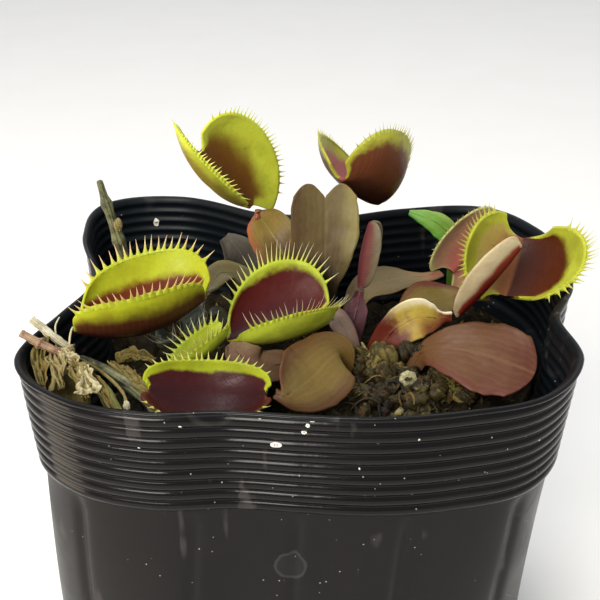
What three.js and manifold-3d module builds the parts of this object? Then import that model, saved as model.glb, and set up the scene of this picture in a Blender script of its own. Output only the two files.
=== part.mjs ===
// Potted Venus flytrap: a soft ribbed nursery pot filled with moss-topped
// growing mix, a rosette of leaves with their traps, and old plant litter.
// Millimetres, +Z up, pot base centre at the origin, front of the plant at -Y.

import * as THREE from 'three';
import { mergeVertices } from 'three/addons/utils/BufferGeometryUtils.js';
import Module from 'manifold-3d';

const wasm = await Module();
wasm.setup();

// ---------------------------------------------------------------- constants

const RIM_Z = 80;
const COLLAR_Z = 61.7;
const BASE_R = 43.5;
const BASE_SCALE = 0.92;
const BASE_SQUARE = 0.55;
const WALL = 0.9;
const FLOOR = 1.4;
const CLEAR = 0.5;
const POT_STEPS = 48;
const RIBS = 9;
const RIB_DEPTH = 0.5;
const FLUTES = 16;
const FLUTE_DEPTH = 0.55;
const COLLAR_TAPER = 0.962;

// Rim radius every 15 degrees, from +X turning towards +Y: the soft wall sags
// inwards along its sides and keeps four rounded corners.
const RIM_RADII = [
  46.7, 50, 52.7, 52.3, 41.8, 33.4, 33, 36, 49.5, 55.4, 47.5, 39,
  36.2, 41, 50, 50.6, 46.8, 41.7, 41.3, 43.5, 46.8, 50.9, 49.7, 43.6,
];
const BODY_BULGE = -1.6;

const SOIL_RINGS = 10;
const LEAF_STEPS = 10;
const LEAF_ACROSS = 4;
const LEAF_THICK = 0.9;
const LOBE_ROWS = 3;
const LOBE_THICK = 0.8;
const NECK_GAP = 0.35;
const FOOT_DEPTH = 3;
const HOLE_CLEAR = 0.75;

// ------------------------------------------------------------------ helpers

const vec = (p) => new THREE.Vector3(p[0], p[1], p[2]);

function smoothstep(t) {
  const c = Math.min(1, Math.max(0, t));
  return c * c * (3 - 2 * c);
}

/** Value of a list of evenly spaced numbers at t in 0..1 (smooth through them). */
function along(list, t) {
  const s = Math.min(1, Math.max(0, t)) * (list.length - 1);
  const i = Math.min(list.length - 2, Math.floor(s));
  const f = s - i;
  const a = list[Math.max(0, i - 1)];
  const b = list[i];
  const c = list[i + 1];
  const d = list[Math.min(list.length - 1, i + 2)];
  return b + 0.5 * f * (c - a + f * (2 * a - 5 * b + 4 * c - d + f * (3 * (b - c) + d - a)));
}

/** Point of a smooth line through the given points at t in 0..1. */
function linePoint(points, t) {
  return new THREE.Vector3(
    along(points.map((p) => p[0]), t),
    along(points.map((p) => p[1]), t),
    along(points.map((p) => p[2]), t),
  );
}

function lineTangent(points, t) {
  const a = linePoint(points, Math.max(0, t - 0.02));
  const b = linePoint(points, Math.min(1, t + 0.02));
  return b.sub(a).normalize();
}

/** Closed body from vertices and faces. */
function body(positions, faces) {
  const geometry = new THREE.BufferGeometry();
  geometry.setAttribute('position', new THREE.Float32BufferAttribute(positions, 3));
  geometry.setIndex(faces);
  return geometry;
}

/**
 * Closed plate round a middle surface. grid[i][j] are its points, half(i, j) half
 * its thickness there. Both faces are split into triangles alike.
 */
function plate(grid, half) {
  const rows = grid.length;
  const cols = grid[0].length;
  const positions = [];
  const faces = [];
  for (const side of [1, -1]) {
    for (let i = 0; i < rows; i += 1) {
      for (let j = 0; j < cols; j += 1) {
        const du = grid[Math.min(rows - 1, i + 1)][j].clone().sub(grid[Math.max(0, i - 1)][j]);
        const dv = grid[i][Math.min(cols - 1, j + 1)].clone().sub(grid[i][Math.max(0, j - 1)]);
        const normal = du.cross(dv).normalize().multiplyScalar(side * half(i, j));
        const p = grid[i][j].clone().add(normal);
        positions.push(p.x, p.y, p.z);
      }
    }
  }
  const low = rows * cols;
  const at = (i, j) => i * cols + j;
  for (let i = 0; i < rows - 1; i += 1) {
    for (let j = 0; j < cols - 1; j += 1) {
      const a = at(i, j);
      const b = at(i + 1, j);
      const c = at(i + 1, j + 1);
      const d = at(i, j + 1);
      faces.push(a, b, c, a, c, d);
      faces.push(low + a, low + c, low + b, low + a, low + d, low + c);
    }
  }
  const edge = [];
  for (let i = 0; i < rows; i += 1) {
    edge.push(at(i, 0));
  }
  for (let j = 1; j < cols; j += 1) {
    edge.push(at(rows - 1, j));
  }
  for (let i = rows - 2; i >= 0; i -= 1) {
    edge.push(at(i, cols - 1));
  }
  for (let j = cols - 2; j > 0; j -= 1) {
    edge.push(at(0, j));
  }
  edge.forEach((a, k) => {
    const b = edge[(k + 1) % edge.length];
    faces.push(a, low + a, low + b, a, low + b, b);
  });
  return body(positions, faces);
}

/**
 * Closed body through stacked closed rings, with a fan at each end. The first
 * `crossed` bands are split along their other diagonal; inward turns the faces.
 */
function rings(stack, crossed = 0, inward = false) {
  const n = stack[0].length;
  const positions = [];
  const faces = [];
  stack.forEach((ring) => ring.forEach((p) => positions.push(p[0], p[1], p[2])));
  for (let i = 0; i < stack.length - 1; i += 1) {
    for (let k = 0; k < n; k += 1) {
      const a = i * n + k;
      const b = i * n + (k + 1) % n;
      if (i < crossed) {
        faces.push(a, b, a + n, b, b + n, a + n);
      } else {
        faces.push(a, b, b + n, a, b + n, a + n);
      }
    }
  }
  for (const [ring, flip] of [[0, true], [stack.length - 1, false]]) {
    const centre = [0, 1, 2].map((q) => stack[ring].reduce((s, p) => s + p[q], 0) / n);
    const c = positions.length / 3;
    positions.push(...centre);
    for (let k = 0; k < n; k += 1) {
      const a = ring * n + k;
      const b = ring * n + (k + 1) % n;
      faces.push(...(flip ? [c, b, a] : [c, a, b]));
    }
  }
  return body(positions, inward ? faces.reverse() : faces);
}

/** Round stem through points, with a radius at each evenly spaced station. */
function stem(points, radii, sides = 7, steps = 7) {
  const stack = [];
  const first = lineTangent(points, 0);
  let side = new THREE.Vector3(0.31, 0.87, 0.38).cross(first).normalize();
  for (let i = 0; i <= steps; i += 1) {
    const t = i / steps;
    const axis = lineTangent(points, t);
    side = side.sub(axis.clone().multiplyScalar(side.dot(axis))).normalize();
    const up = axis.clone().cross(side);
    const centre = linePoint(points, t);
    const r = along(radii, t);
    const ring = [];
    for (let k = 0; k < sides; k += 1) {
      const angle = (k / sides) * 2 * Math.PI;
      const p = centre.clone()
        .add(side.clone().multiplyScalar(r * Math.cos(angle)))
        .add(up.clone().multiplyScalar(r * Math.sin(angle)));
      ring.push([p.x, p.y, p.z]);
    }
    stack.push(ring);
  }
  return rings(stack);
}

function toManifold(geometry) {
  const bare = geometry.clone();
  bare.deleteAttribute('normal');
  bare.deleteAttribute('uv');
  const merged = mergeVertices(bare, 1e-5);
  return new wasm.Manifold(new wasm.Mesh({
    numProp: 3,
    vertProperties: new Float32Array(merged.attributes.position.array),
    triVerts: new Uint32Array(merged.index.array),
  }));
}

function fromManifold(solid) {
  const mesh = solid.getMesh();
  const geometry = new THREE.BufferGeometry();
  geometry.setAttribute('position', new THREE.Float32BufferAttribute(mesh.vertProperties, 3));
  geometry.setIndex(Array.from(mesh.triVerts));
  return geometry;
}

const plant = new THREE.Group();
plant.name = 'potted_venus_flytrap';

function addPart(name, geometry, colour, roughness = 0.6) {
  const material = new THREE.MeshStandardMaterial({ color: colour, roughness });
  material.name = name;
  const mesh = new THREE.Mesh(geometry, material);
  mesh.name = name;
  plant.add(mesh);
}

// ---------------------------------------------------------------------- pot

/** Rim radius at an angle: smooth through the listed radii. */
function rimRadius(angle) {
  const n = RIM_RADII.length;
  const s = (((angle / (2 * Math.PI)) % 1) + 1) % 1 * n;
  const i = Math.floor(s);
  const pick = (k) => RIM_RADII[(i + k + n) % n];
  const f = s - i;
  const [a, b, c, d] = [pick(-1), pick(0), pick(1), pick(2)];
  return b + 0.5 * f * (c - a + f * (2 * a - 5 * b + 4 * c - d + f * (3 * (b - c) + d - a)));
}

/** Outer wall radius without ribs or flutes. */
function wallRadius(angle, z) {
  const rim = rimRadius(angle);
  const low = rim * COLLAR_TAPER;
  if (z >= COLLAR_Z) {
    return low + (rim - low) * (z - COLLAR_Z) / (RIM_Z - COLLAR_Z);
  }
  const base = BASE_SCALE * (BASE_R + (rim - BASE_R) * BASE_SQUARE);
  return base + (low - 1 - base) * Math.pow(z / COLLAR_Z, 0.8);
}

function potRing(z, shift, flute) {
  const ring = [];
  for (let k = 0; k < POT_STEPS; k += 1) {
    const angle = (k / POT_STEPS) * 2 * Math.PI;
    const groove = flute && k % (POT_STEPS / FLUTES) === 0 ? FLUTE_DEPTH : 0;
    const r = wallRadius(angle, z) + shift - groove;
    const bulge = z < COLLAR_Z ? BODY_BULGE * Math.sin(Math.PI * z / COLLAR_Z) : 0;
    ring.push([r * Math.cos(angle) + bulge, r * Math.sin(angle), z]);
  }
  return ring;
}

/** Ring heights and radial shifts of the collar's ribs, from the bottom up. */
function ribStations() {
  const pitch = (RIM_Z - 1 - COLLAR_Z) / RIBS;
  const list = [];
  for (let k = 0; k < RIBS; k += 1) {
    list.push([COLLAR_Z + pitch * (k + 0.25), -RIB_DEPTH]);
    list.push([COLLAR_Z + pitch * (k + 0.75), 0]);
  }
  list.push([RIM_Z - 0.9, -0.3]);
  return list;
}

function potBody() {
  const ribs = ribStations();
  const outer = [
    potRing(0, -0.8, false),
    potRing(1.2, 0, false),
    potRing(6, 0, true),
    potRing(16, 0, true),
    potRing(30, 0, true),
    potRing(45, 0, true),
    potRing(COLLAR_Z - 2.4, 0, true),
    potRing(COLLAR_Z - 0.8, 0, false),
    ...ribs.map(([z, shift]) => potRing(z, shift, false)),
    potRing(RIM_Z - 0.25, 0.35, false),
    potRing(RIM_Z, 0, false),
  ];
  const inner = [
    potRing(RIM_Z, -WALL + 0.35, false),
    ...ribs.reverse().map(([z, shift]) => potRing(z, shift - WALL, false)),
    potRing(COLLAR_Z - 1.2, -WALL, false),
    potRing(COLLAR_Z - 3, -WALL - FLUTE_DEPTH, false),
    potRing(45, -WALL - FLUTE_DEPTH, false),
    potRing(30, -WALL - FLUTE_DEPTH, false),
    potRing(16, -WALL - FLUTE_DEPTH, false),
    potRing(FLOOR, -WALL - FLUTE_DEPTH, false),
  ];
  return rings([...outer, ...inner], outer.length - 1);
}

// -------------------------------------------------------------- growing mix

/** Top of the mix: low at the left, a moss cushion at the right and front. */
function soilHeight(x, y) {
  const hill = (cx, cy, w, h) => h * Math.exp(-((x - cx) ** 2 + (y - cy) ** 2) / (w * w));
  const ripple = 0.45 * Math.sin(1.15 * x + 0.6 * y) + 0.4 * Math.sin(0.7 * x - 1.05 * y + 1.3);
  return 62.5 + hill(14, -12, 17, 5.6) + hill(10, -9, 4, 1.8) + hill(20, -16, 4, 1.4)
    + hill(5, -22, 6, 1.6) + hill(28, -14, 6, 1.2) + hill(2, 4, 11, 2.6) + ripple;
}

function mixBody(holes) {
  const side = (z) => potRing(z, -WALL - FLUTE_DEPTH - CLEAR, false);
  const stack = [side(FLOOR + 0.3), side(16), side(30), side(45), side(COLLAR_Z - 3.4)];
  for (let k = 0; k < SOIL_RINGS; k += 1) {
    const scale = 1 - k / SOIL_RINGS;
    stack.push(side(COLLAR_Z - 3.4).map(([x, y]) => {
      const px = x * scale * 0.995;
      const py = y * scale * 0.995;
      const edge = smoothstep((1 - scale) / 0.12);
      return [px, py, 60.2 + (soilHeight(px, py) - 60.2) * (0.15 + 0.85 * edge)];
    }));
  }
  const mix = toManifold(rings(stack.reverse(), 0, true));
  return fromManifold(holes.reduce((solid, hole) => solid.subtract(toManifold(hole)), mix));
}

// ------------------------------------------------------------------- leaves

/**
 * Blade along a line of points. widths are full widths at even stations, face the
 * way its upper side looks, fold how far the sides rise (share of half the width),
 * wave the height of its margins' waves, heart how far the sides reach past the end;
 * a negative heart draws the margins back and rounds the end.
 */
function blade(spec) {
  const { line, widths, face, fold = 0.15, wave = 0.3, waves = 2, heart = 0, twist = 0 } = spec;
  const grid = [];
  for (let i = 0; i <= LEAF_STEPS; i += 1) {
    const t = i / LEAF_STEPS;
    const axis = lineTangent(line, t);
    const side = axis.clone().cross(vec(face)).normalize().applyAxisAngle(axis, twist * t);
    const up = side.clone().cross(axis);
    const centre = linePoint(line, t);
    const half = Math.max(0.6, along(widths, t) / 2);
    const row = [];
    for (let j = 0; j <= LEAF_ACROSS; j += 1) {
      const s = (2 * j) / LEAF_ACROSS - 1;
      const rise = fold * half * Math.abs(s) ** 1.5
        + wave * s * s * Math.sin(2 * Math.PI * waves * t + (s > 0 ? 0 : 2));
      const swell = heart < 0 ? s * s : Math.sin(0.95 * Math.PI * Math.abs(s));
      const reach = heart * swell * smoothstep((t - 0.55) / 0.45);
      row.push(centre.clone()
        .add(side.clone().multiplyScalar(s * half))
        .add(up.clone().multiplyScalar(rise))
        .add(axis.clone().multiplyScalar(reach)));
    }
    grid.push(row);
  }
  return plate(grid, (i, j) => {
    const edge = j === 0 || j === LEAF_ACROSS ? 0.7 : 1;
    return 0.5 * LEAF_THICK * edge;
  });
}

/**
 * Trap: two cupped lobes either side of a hinge from neck to tip. rimA and rimB
 * are the middles of the two rims; the rims carry teeth as a zigzag last row.
 */
function trap(spec) {
  const { neck, tip, rimA, rimB, cup = 0.16, fan = 0.25, bow = 0.1, teeth = 12 } = spec;
  const { tooth = 0.1, end = 0.2, fanA = fan, fanB = fan, slideA = 0, slideB = 0 } = spec;
  const a = vec(neck);
  const b = vec(tip);
  const axis = b.clone().sub(a);
  const length = axis.length();
  axis.normalize();
  const middle = a.clone().add(b).multiplyScalar(0.5);
  const mouth = vec(rimA).sub(middle).normalize().add(vec(rimB).sub(middle).normalize()).normalize();
  middle.addScaledVector(mouth, -bow * length * 0.5);
  const reachA = vec(rimA).sub(middle);
  const reachB = vec(rimB).sub(middle);
  const outward = (reach, other) => {
    const out = reach.clone().cross(axis).normalize();
    return out.dot(other) > 0 ? out.negate() : out;
  };
  const outA = outward(reachA, reachB);
  const outB = outward(reachB, reachA);
  const cols = Math.max(8, 2 * teeth);
  const grid = [];
  for (let i = 0; i <= cols; i += 1) {
    const u = i / cols;
    const round = end + (1 - end) * Math.pow(4 * u * (1 - u), 0.5);
    const hinge = a.clone().add(axis.clone().multiplyScalar(u * length))
      .add(mouth.clone().multiplyScalar(-bow * length * 4 * u * (1 - u) * 0.5));
    const row = [];
    for (let j = -LOBE_ROWS; j <= LOBE_ROWS; j += 1) {
      const reach = j < 0 ? reachA : reachB;
      const out = j < 0 ? outA : outB;
      const w = Math.abs(j) / LOBE_ROWS;
      const spike = Math.abs(j) === LOBE_ROWS && i % 2 === 1 && teeth > 0 ? tooth : 0;
      const belly = cup * 4 * w * (1 - w);
      const spread = (u - 0.5) * (j < 0 ? fanA : fanB) * (w + spike) + (j < 0 ? slideA : slideB);
      row.push(hinge.clone()
        .add(reach.clone().multiplyScalar((w + spike) * round))
        .add(out.clone().multiplyScalar(belly * reach.length() * round))
        .add(axis.clone().multiplyScalar(spread * length * w)));
    }
    grid.push(row);
  }
  return plate(grid, (i, j) => (j === 0 || j === 2 * LOBE_ROWS ? 0.4 : 0.5) * LOBE_THICK);
}

const TRAPS = {
  trap_upper_left: {
    neck: [-9, 16, 88.5], tip: [-16.8, 8, 101.5], rimA: [-7.4, 17, 103.6], rimB: [-15, -0.5, 102.6],
    teeth: 13, tooth: 0.07, fanA: 0.45, fanB: 0.35, cup: 0.15, slideA: -0.1, slideB: 0.16, colour: '#a8a040',
  },
  trap_upper_right: {
    neck: [7.5, 11.8, 95.2], tip: [14.8, 25, 85.7], rimA: [17.9, 13.5, 103.2], rimB: [5.5, 27, 97.8],
    teeth: 13, tooth: 0.07, fan: 0.3, colour: '#8a6a40',
  },
  trap_left: {
    neck: [-15.9, -8.6, 82.2], tip: [-35.6, -17, 80.7], rimA: [-27, -3, 87.6], rimB: [-24.9, -19.5, 87.8],
    teeth: 16, bow: 0.3, fan: 0, slideA: -0.06, colour: '#a0a030',
  },
  trap_centre: {
    neck: [2.7, -3, 75.1], tip: [-12.3, -7, 73.3], rimA: [-4.9, 3, 83.4], rimB: [-0.3, -15, 82.6],
    teeth: 15, tooth: 0.16, fanA: 0.15, fanB: 0, slideA: -0.08, slideB: -0.1, colour: '#7a2a28',
  },
  trap_front: {
    neck: [-5.2, -27, 74.9], tip: [-22.8, -28.5, 76.6], rimA: [-14.1, -22.5, 78.4],
    rimB: [-14, -34, 74], teeth: 14, bow: 0.35, fan: 0.1, colour: '#8a3038',
  },
  trap_small: {
    neck: [-12.6, -12.5, 76.9], tip: [-18.5, -19, 74.9], rimA: [-17.5, -13.5, 77.9],
    rimB: [-15.4, -18, 78.7], teeth: 8, fan: 0.3, end: 0.5, colour: '#98a030',
  },
  trap_right: {
    neck: [36.7, 6.5, 75], tip: [39.9, 12, 84.1], rimA: [29.2, 6, 85.7], rimB: [48.3, -0.6, 85.6],
    teeth: 13, tooth: 0.08, fanA: 0.45, fanB: 0.2, end: 0.42, colour: '#9a7a48',
  },
  trap_back: {
    neck: [29.6, 25, 71.3], tip: [37.5, 28.5, 78.5], rimA: [28.9, 24, 81], rimB: [36.8, 27, 71.2],
    teeth: 8, fan: 0.5, end: 0.5, colour: '#9a6a50',
  },
  young_trap_upright: {
    neck: [10.4, 1.5, 79.4], tip: [12.1, 3, 90.7], rimA: [13.5, 0, 85.9], rimB: [13.9, 3.5, 85.6],
    teeth: 0, fan: 0, colour: '#b06058',
  },
  young_trap_leaning: {
    neck: [27.2, -1, 75], tip: [37.6, 2, 86.8], rimA: [29.6, -3.5, 86], rimB: [31, -0.5, 85.3],
    teeth: 0, fan: 0, colour: '#c8b890',
  },
  old_trap: {
    neck: [-17, -2.5, 75], tip: [-23.5, -6.5, 73.5], rimA: [-21, -1, 76.5],
    rimB: [-19.5, -8, 75], teeth: 6, tooth: 0.45, colour: '#8a8880',
  },
};

// Blades start in the mix and end at the necks of the traps they carry, less the
// working gap. A blade comes up to its trap along the trap's own axis.
const BLADES = {
  leaf_upper_left: {
    line: [[-1.5, 13, 0], [-0.7, 12, 73.7], [-4.2, 13.5, 82.4]], carries: 'trap_upper_left', back: 2.1,
    widths: [2.6, 3.6, 7, 9, 7, 2.2, 1.8], face: [0.2, -1, 0.25], fold: 0.2, colour: '#9a8450',
  },
  leaf_upper_right: {
    line: [[4.5, 6, 0], [4.5, 6, 74.6], [4.4, 7.4, 83], [4.4, 10, 92.5]],
    widths: [2.2, 3, 4.2, 8.5, 12, 11], face: [0, -1, 0.3], fold: 0.25, heart: 2.6,
    colour: '#7a6a48',
  },
  leaf_left: {
    line: [[-5, 9.5, 0], [-6.9, 8, 73.6], [-10, 7, 77.9], [-13.6, 3, 81], [-15.2, -3, 81.2]],
    carries: 'trap_left', direct: true, back: 2,
    widths: [2.2, 2.6, 5, 6.5, 4.5, 1.8, 1.4], face: [-0.2, -0.7, 1], colour: '#8a7a50',
  },
  leaf_centre: {
    line: [[9.3, -6, 0], [8.5, -5.5, 72]], carries: 'trap_centre', back: 1.4,
    widths: [2.2, 3, 4, 3, 1.6], face: [0, -0.5, 1], colour: '#8a6a58',
  },
  leaf_front: {
    line: [[6.5, -11, 0], [6.2, -14, 74.5], [2, -20, 73.8]], carries: 'trap_front', back: 1.1,
    widths: [2.6, 4.5, 10, 12, 9, 2.6, 1.8], face: [0.2, -0.8, 0.8], fold: 0.1, wave: 0.5,
    colour: '#9a7840',
  },
  leaf_small: {
    line: [[2.4, -10, 0], [-1.7, -11.6, 70.9], [-7, -13.9, 72], [-10.4, -13.3, 74.5]],
    carries: 'trap_small', direct: true, back: 1.1,
    widths: [2.4, 4.5, 6.5, 6.5, 4, 1.6], face: [0, -0.6, 1], wave: 0.4, colour: '#7a5848',
  },
  leaf_right: {
    line: [[18.8, 4, 0], [21, 4.5, 73], [26.9, 7, 74.5]], carries: 'trap_right', direct: true, back: 2.5,
    widths: [2.6, 4, 8, 9, 6.5, 2.4, 1.8], face: [0, -0.35, 1], colour: '#86704a',
  },
  leaf_back: {
    line: [[8.6, 12.4, 0], [11, 14.5, 71.5], [16.5, 17, 73], [23, 20.5, 72]],
    carries: 'trap_back', direct: true, back: 2.4,
    widths: [2.6, 4, 7, 8, 6, 2.6, 1.6], face: [0, -0.2, 1], colour: '#9a8270',
  },
  young_leaf_upright: {
    line: [[8.8, -0.5, 0], [9, -0.5, 72]], carries: 'young_trap_upright', back: 0.2,
    widths: [2.4, 3.4, 4.6, 4, 2, 1.6], face: [0.3, -1, 0.2], colour: '#a06a78',
  },
  young_leaf_leaning: {
    line: [[10.6, -3, 0], [14, -4, 71.2], [19.3, -3.7, 75.7], [23.5, -2.6, 75.4]],
    carries: 'young_trap_leaning', direct: true, back: 0.9,
    widths: [2.2, 3, 5.5, 7, 5, 2, 1.6], face: [-0.1, -0.9, 0.45], fold: 0.3,
    colour: '#c07840',
  },
  leaf_broad_right: {
    line: [[18, -8, 0], [21.2, -9, 72.3], [29, -12.6, 73.9], [38, -16.5, 72.2]],
    widths: [2.6, 3.2, 7.6, 14.4, 16.6, 14], face: [0.1, -0.35, 1], fold: 0.05, wave: 0.5, heart: -3,
    colour: '#b07058',
  },
  old_leaf: {
    line: [[-10.5, 1, 0], [-12, -0.6, 70]], carries: 'old_trap', back: 1.5,
    widths: [2, 2.2, 2.4, 1.8, 1.4], face: [0, -0.5, 1], colour: '#8a8270',
  },
  leaf_dark_back: {
    line: [[-10.5, 13, 0], [-10.5, 14, 73], [-11, 15.5, 79], [-14, 17, 82]],
    widths: [2.4, 3.4, 6.5, 8, 6, 3], face: [0.3, -0.6, 1], colour: '#5a5248',
  },
  leaf_green_small: {
    line: [[30, 31, 0], [30.5, 31.5, 73], [27.2, 31.5, 78.4], [21.5, 32.2, 80.8]],
    widths: [1.8, 2, 4, 5, 3.6, 1.2], face: [0.1, -0.8, 0.8], colour: '#7ab048',
  },
};

for (const spec of Object.values(BLADES)) {
  const foot = spec.line[0];
  foot[2] = soilHeight(foot[0], foot[1]) - FOOT_DEPTH;
  if (spec.carries) {
    const neck = vec(TRAPS[spec.carries].neck);
    const axis = vec(TRAPS[spec.carries].tip).sub(neck).normalize();
    if (spec.direct) {
      axis.copy(neck).sub(vec(spec.line[spec.line.length - 1])).normalize();
    } else {
      const before = neck.clone().addScaledVector(axis, -3.4);
      spec.line.push([before.x, before.y, before.z]);
    }
    const end = neck.clone().addScaledVector(axis, -(NECK_GAP + (spec.back ?? 0.9)));
    spec.line.push([end.x, end.y, end.z]);
  }
}

for (const [name, spec] of Object.entries(TRAPS)) {
  addPart(name, trap(spec), spec.colour, 0.5);
}
for (const [name, spec] of Object.entries(BLADES)) {
  addPart(name, blade(spec), spec.colour, 0.45);
}

// ------------------------------------------------------------------- litter

// Stems standing in the mix start at their foot.
const STEMS = {
  dead_flower_stalk: {
    line: [[-25, 12, 59], [-29, 8.5, 73.5], [-32.3, 8, 87], [-34.5, 8, 96.5]],
    radii: [0.8, 0.8, 1, 0.6], colour: '#7a6e50', standing: true,
  },
  mossy_stem: {
    line: [[-15, -29, 60], [-18.5, -28.5, 68.5], [-26.3, -24, 74.6], [-35, -18.5, 76.4]],
    radii: [0.8, 1, 1, 0.7], colour: '#6a6a48', standing: true,
  },
  green_stem: {
    line: [[-24.5, -31, 60], [-26.6, -30.6, 70], [-29.6, -27.4, 75], [-32.5, -23.4, 76]],
    radii: [0.9, 1.1, 1.1, 0.7], colour: '#8a9038', standing: true,
  },
  cut_stalk: {
    line: [[18, -14.6, 64], [17.9, -14, 71.4]],
    radii: [2, 2], colour: '#8a8454', standing: true,
  },
  pale_stem: {
    line: [[-42.7, -15.5, 81.9], [-39.5, -17, 79.8], [-36.2, -18.5, 77.9]],
    radii: [0.6, 0.7, 0.65], colour: '#b0a888',
  },
  brown_stem: {
    line: [[-43.5, -20, 81.8], [-40.6, -20.5, 80.2], [-36.8, -21.3, 78.6]],
    radii: [0.6, 0.65, 0.6], colour: '#8a6450',
  },
};

// Crumpled dry moss hanging against the wall.
BLADES.dry_moss = {
  line: [[-39, -21, 72], [-37.4, -22.4, 74.6], [-35.4, -25, 73.4], [-34.8, -28, 70.5]],
  widths: [2, 5, 6, 3], face: [0.3, -0.6, 1], wave: 0.8, waves: 3, colour: '#a09468',
  loose: true,
};
addPart('dry_moss', blade(BLADES.dry_moss), BLADES.dry_moss.colour, 0.9);

for (const [name, spec] of Object.entries(STEMS)) {
  addPart(name, stem(spec.line, spec.radii), spec.colour, 0.8);
}

// -------------------------------------------------------------- mix and pot

/** Plain round hole round a stem or blade where it stands in the mix. */
function stemHole({ line, widths, radii }) {
  let top = 0.05;
  for (let p = linePoint(line, top); p.z < soilHeight(p.x, p.y) + 1.4; p = linePoint(line, top)) {
    top += 0.02;
  }
  const stations = [0, top / 3, 2 * top / 3, top];
  const lead = linePoint(line, 0.08).sub(vec(line[0]));
  const points = stations.map((t) => linePoint(line, t)).map((p) => [p.x, p.y, p.z]);
  points[0] = vec(line[0]).addScaledVector(lead.normalize(), -0.7).toArray();
  const wide = stations.map((t) => (widths ? along(widths, t) / 2 : along(radii, t)) + HOLE_CLEAR);
  return stem(points, wide, 8, 3);
}

const standing = [
  ...Object.values(BLADES).filter((spec) => !spec.loose),
  ...Object.values(STEMS).filter((spec) => spec.standing),
];
addPart('pot', potBody(), '#1c1a1b', 0.35);
addPart('growing_mix', mixBody(standing.map(stemHole)), '#4a4630', 0.95);

export default plant;
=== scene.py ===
"""Looks of the potted Venus flytrap: fine surfaces and materials over the CAD frame.

Lengths in the tables are millimetres in the row frame; meshes are made in metres.
"""

import functools
import math

import bpy
import numpy as np
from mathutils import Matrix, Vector


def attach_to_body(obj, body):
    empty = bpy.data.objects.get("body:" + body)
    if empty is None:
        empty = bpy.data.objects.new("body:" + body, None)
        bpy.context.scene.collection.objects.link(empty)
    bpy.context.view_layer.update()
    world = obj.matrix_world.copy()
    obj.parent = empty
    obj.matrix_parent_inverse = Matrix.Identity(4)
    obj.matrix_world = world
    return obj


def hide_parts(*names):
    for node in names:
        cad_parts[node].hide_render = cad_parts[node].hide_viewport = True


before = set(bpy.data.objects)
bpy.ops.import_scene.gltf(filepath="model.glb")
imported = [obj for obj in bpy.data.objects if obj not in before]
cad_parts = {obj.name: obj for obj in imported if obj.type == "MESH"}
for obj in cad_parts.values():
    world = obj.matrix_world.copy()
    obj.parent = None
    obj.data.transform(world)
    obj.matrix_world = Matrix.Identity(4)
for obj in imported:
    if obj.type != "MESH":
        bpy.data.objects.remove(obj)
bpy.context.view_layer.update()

MM = 0.001
PI = math.pi
rng = np.random.default_rng(11)

# ------------------------------------------------------------------ tables (mm)

# The pot. COLLAR_Z is the collar's lower edge and COLLAR_TAPER its radius there as a
# share of the rim's, about COLLAR_R. The foot is BASE_SCALE of a round of BASE_R that
# keeps BASE_SQUARE of the rim's uneven outline. The body sags sideways by BODY_SAG half
# way up. WALL and FLOOR are thicknesses, FLUTE_WIDTH an angle in radians, FLUTE_STEPS
# the points from one flute to the next, WAVE how far the soft wall strays, and
# WATER_MARK the centre of a dried drop.
RIM_Z, COLLAR_Z = 80.0, 61.7
COLLAR_R, COLLAR_TAPER = 42.0, 0.962
BASE_R, BASE_SCALE, BASE_SQUARE = 43.5, 0.92, 0.55
BODY_SAG = -1.6
WALL, FLOOR = 0.9, 1.4
RIBS, RIB_DEPTH = 9, 0.5
FLUTES, FLUTE_DEPTH, FLUTE_WIDTH, FLUTE_STEPS = 16, 0.55, 0.024, 28
WAVE = 0.12
WATER_MARK = (-1.4, -38.1, 51.2)
# Radii of the rim at even angles, anticlockwise from the right.
RIM_RADII = [
    46.7, 50, 52.7, 52.3, 41.8, 33.4, 33, 36, 49.5, 55.4, 47.5, 39,
    36.2, 41, 50, 50.6, 46.8, 41.7, 41.3, 43.5, 46.8, 50.9, 49.7, 43.6,
]

# The mix: height at the wall, and of the level top, which carries round hills (x, y,
# width, height). A mound is x, y and the squares of its reach both ways: one for the
# ridged crumbs and one for the leaflets. The three counts are tries, of which those
# that fall outside the moss, or further than LOOSE_REACH from the middle, are left out.
# Blades stand FOOT_DEPTH deep in the mix.
MIX_EDGE_Z, MIX_Z = 60.2, 62.5
HILLS = [(14, -12, 17, 5.6), (10, -9, 4, 1.8), (20, -16, 4, 1.4), (5, -22, 6, 1.6),
         (28, -14, 6, 1.2), (2, 4, 11, 2.6)]
CRUMB_MOUND, LEAFLET_MOUND = (15, -11, 260, 200), (15, -12, 300, 260)
LEAFLETS, THIN_STRANDS, CUSHION_SCRAPS = 9000, 70, 84
LOOSE_REACH = 33
FOOT_DEPTH = 3.0

# A blade ends NECK_GAP and its own back, or NECK_BACK, before its trap's neck. One that
# arrives along the hinge is in line with it from NECK_LEAD before the neck.
NECK_GAP, NECK_BACK, NECK_LEAD = 0.35, 0.9, 3.4
# A direction that no stem or strand runs along.
ASKEW = (0.31, 0.87, 0.38)

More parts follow.
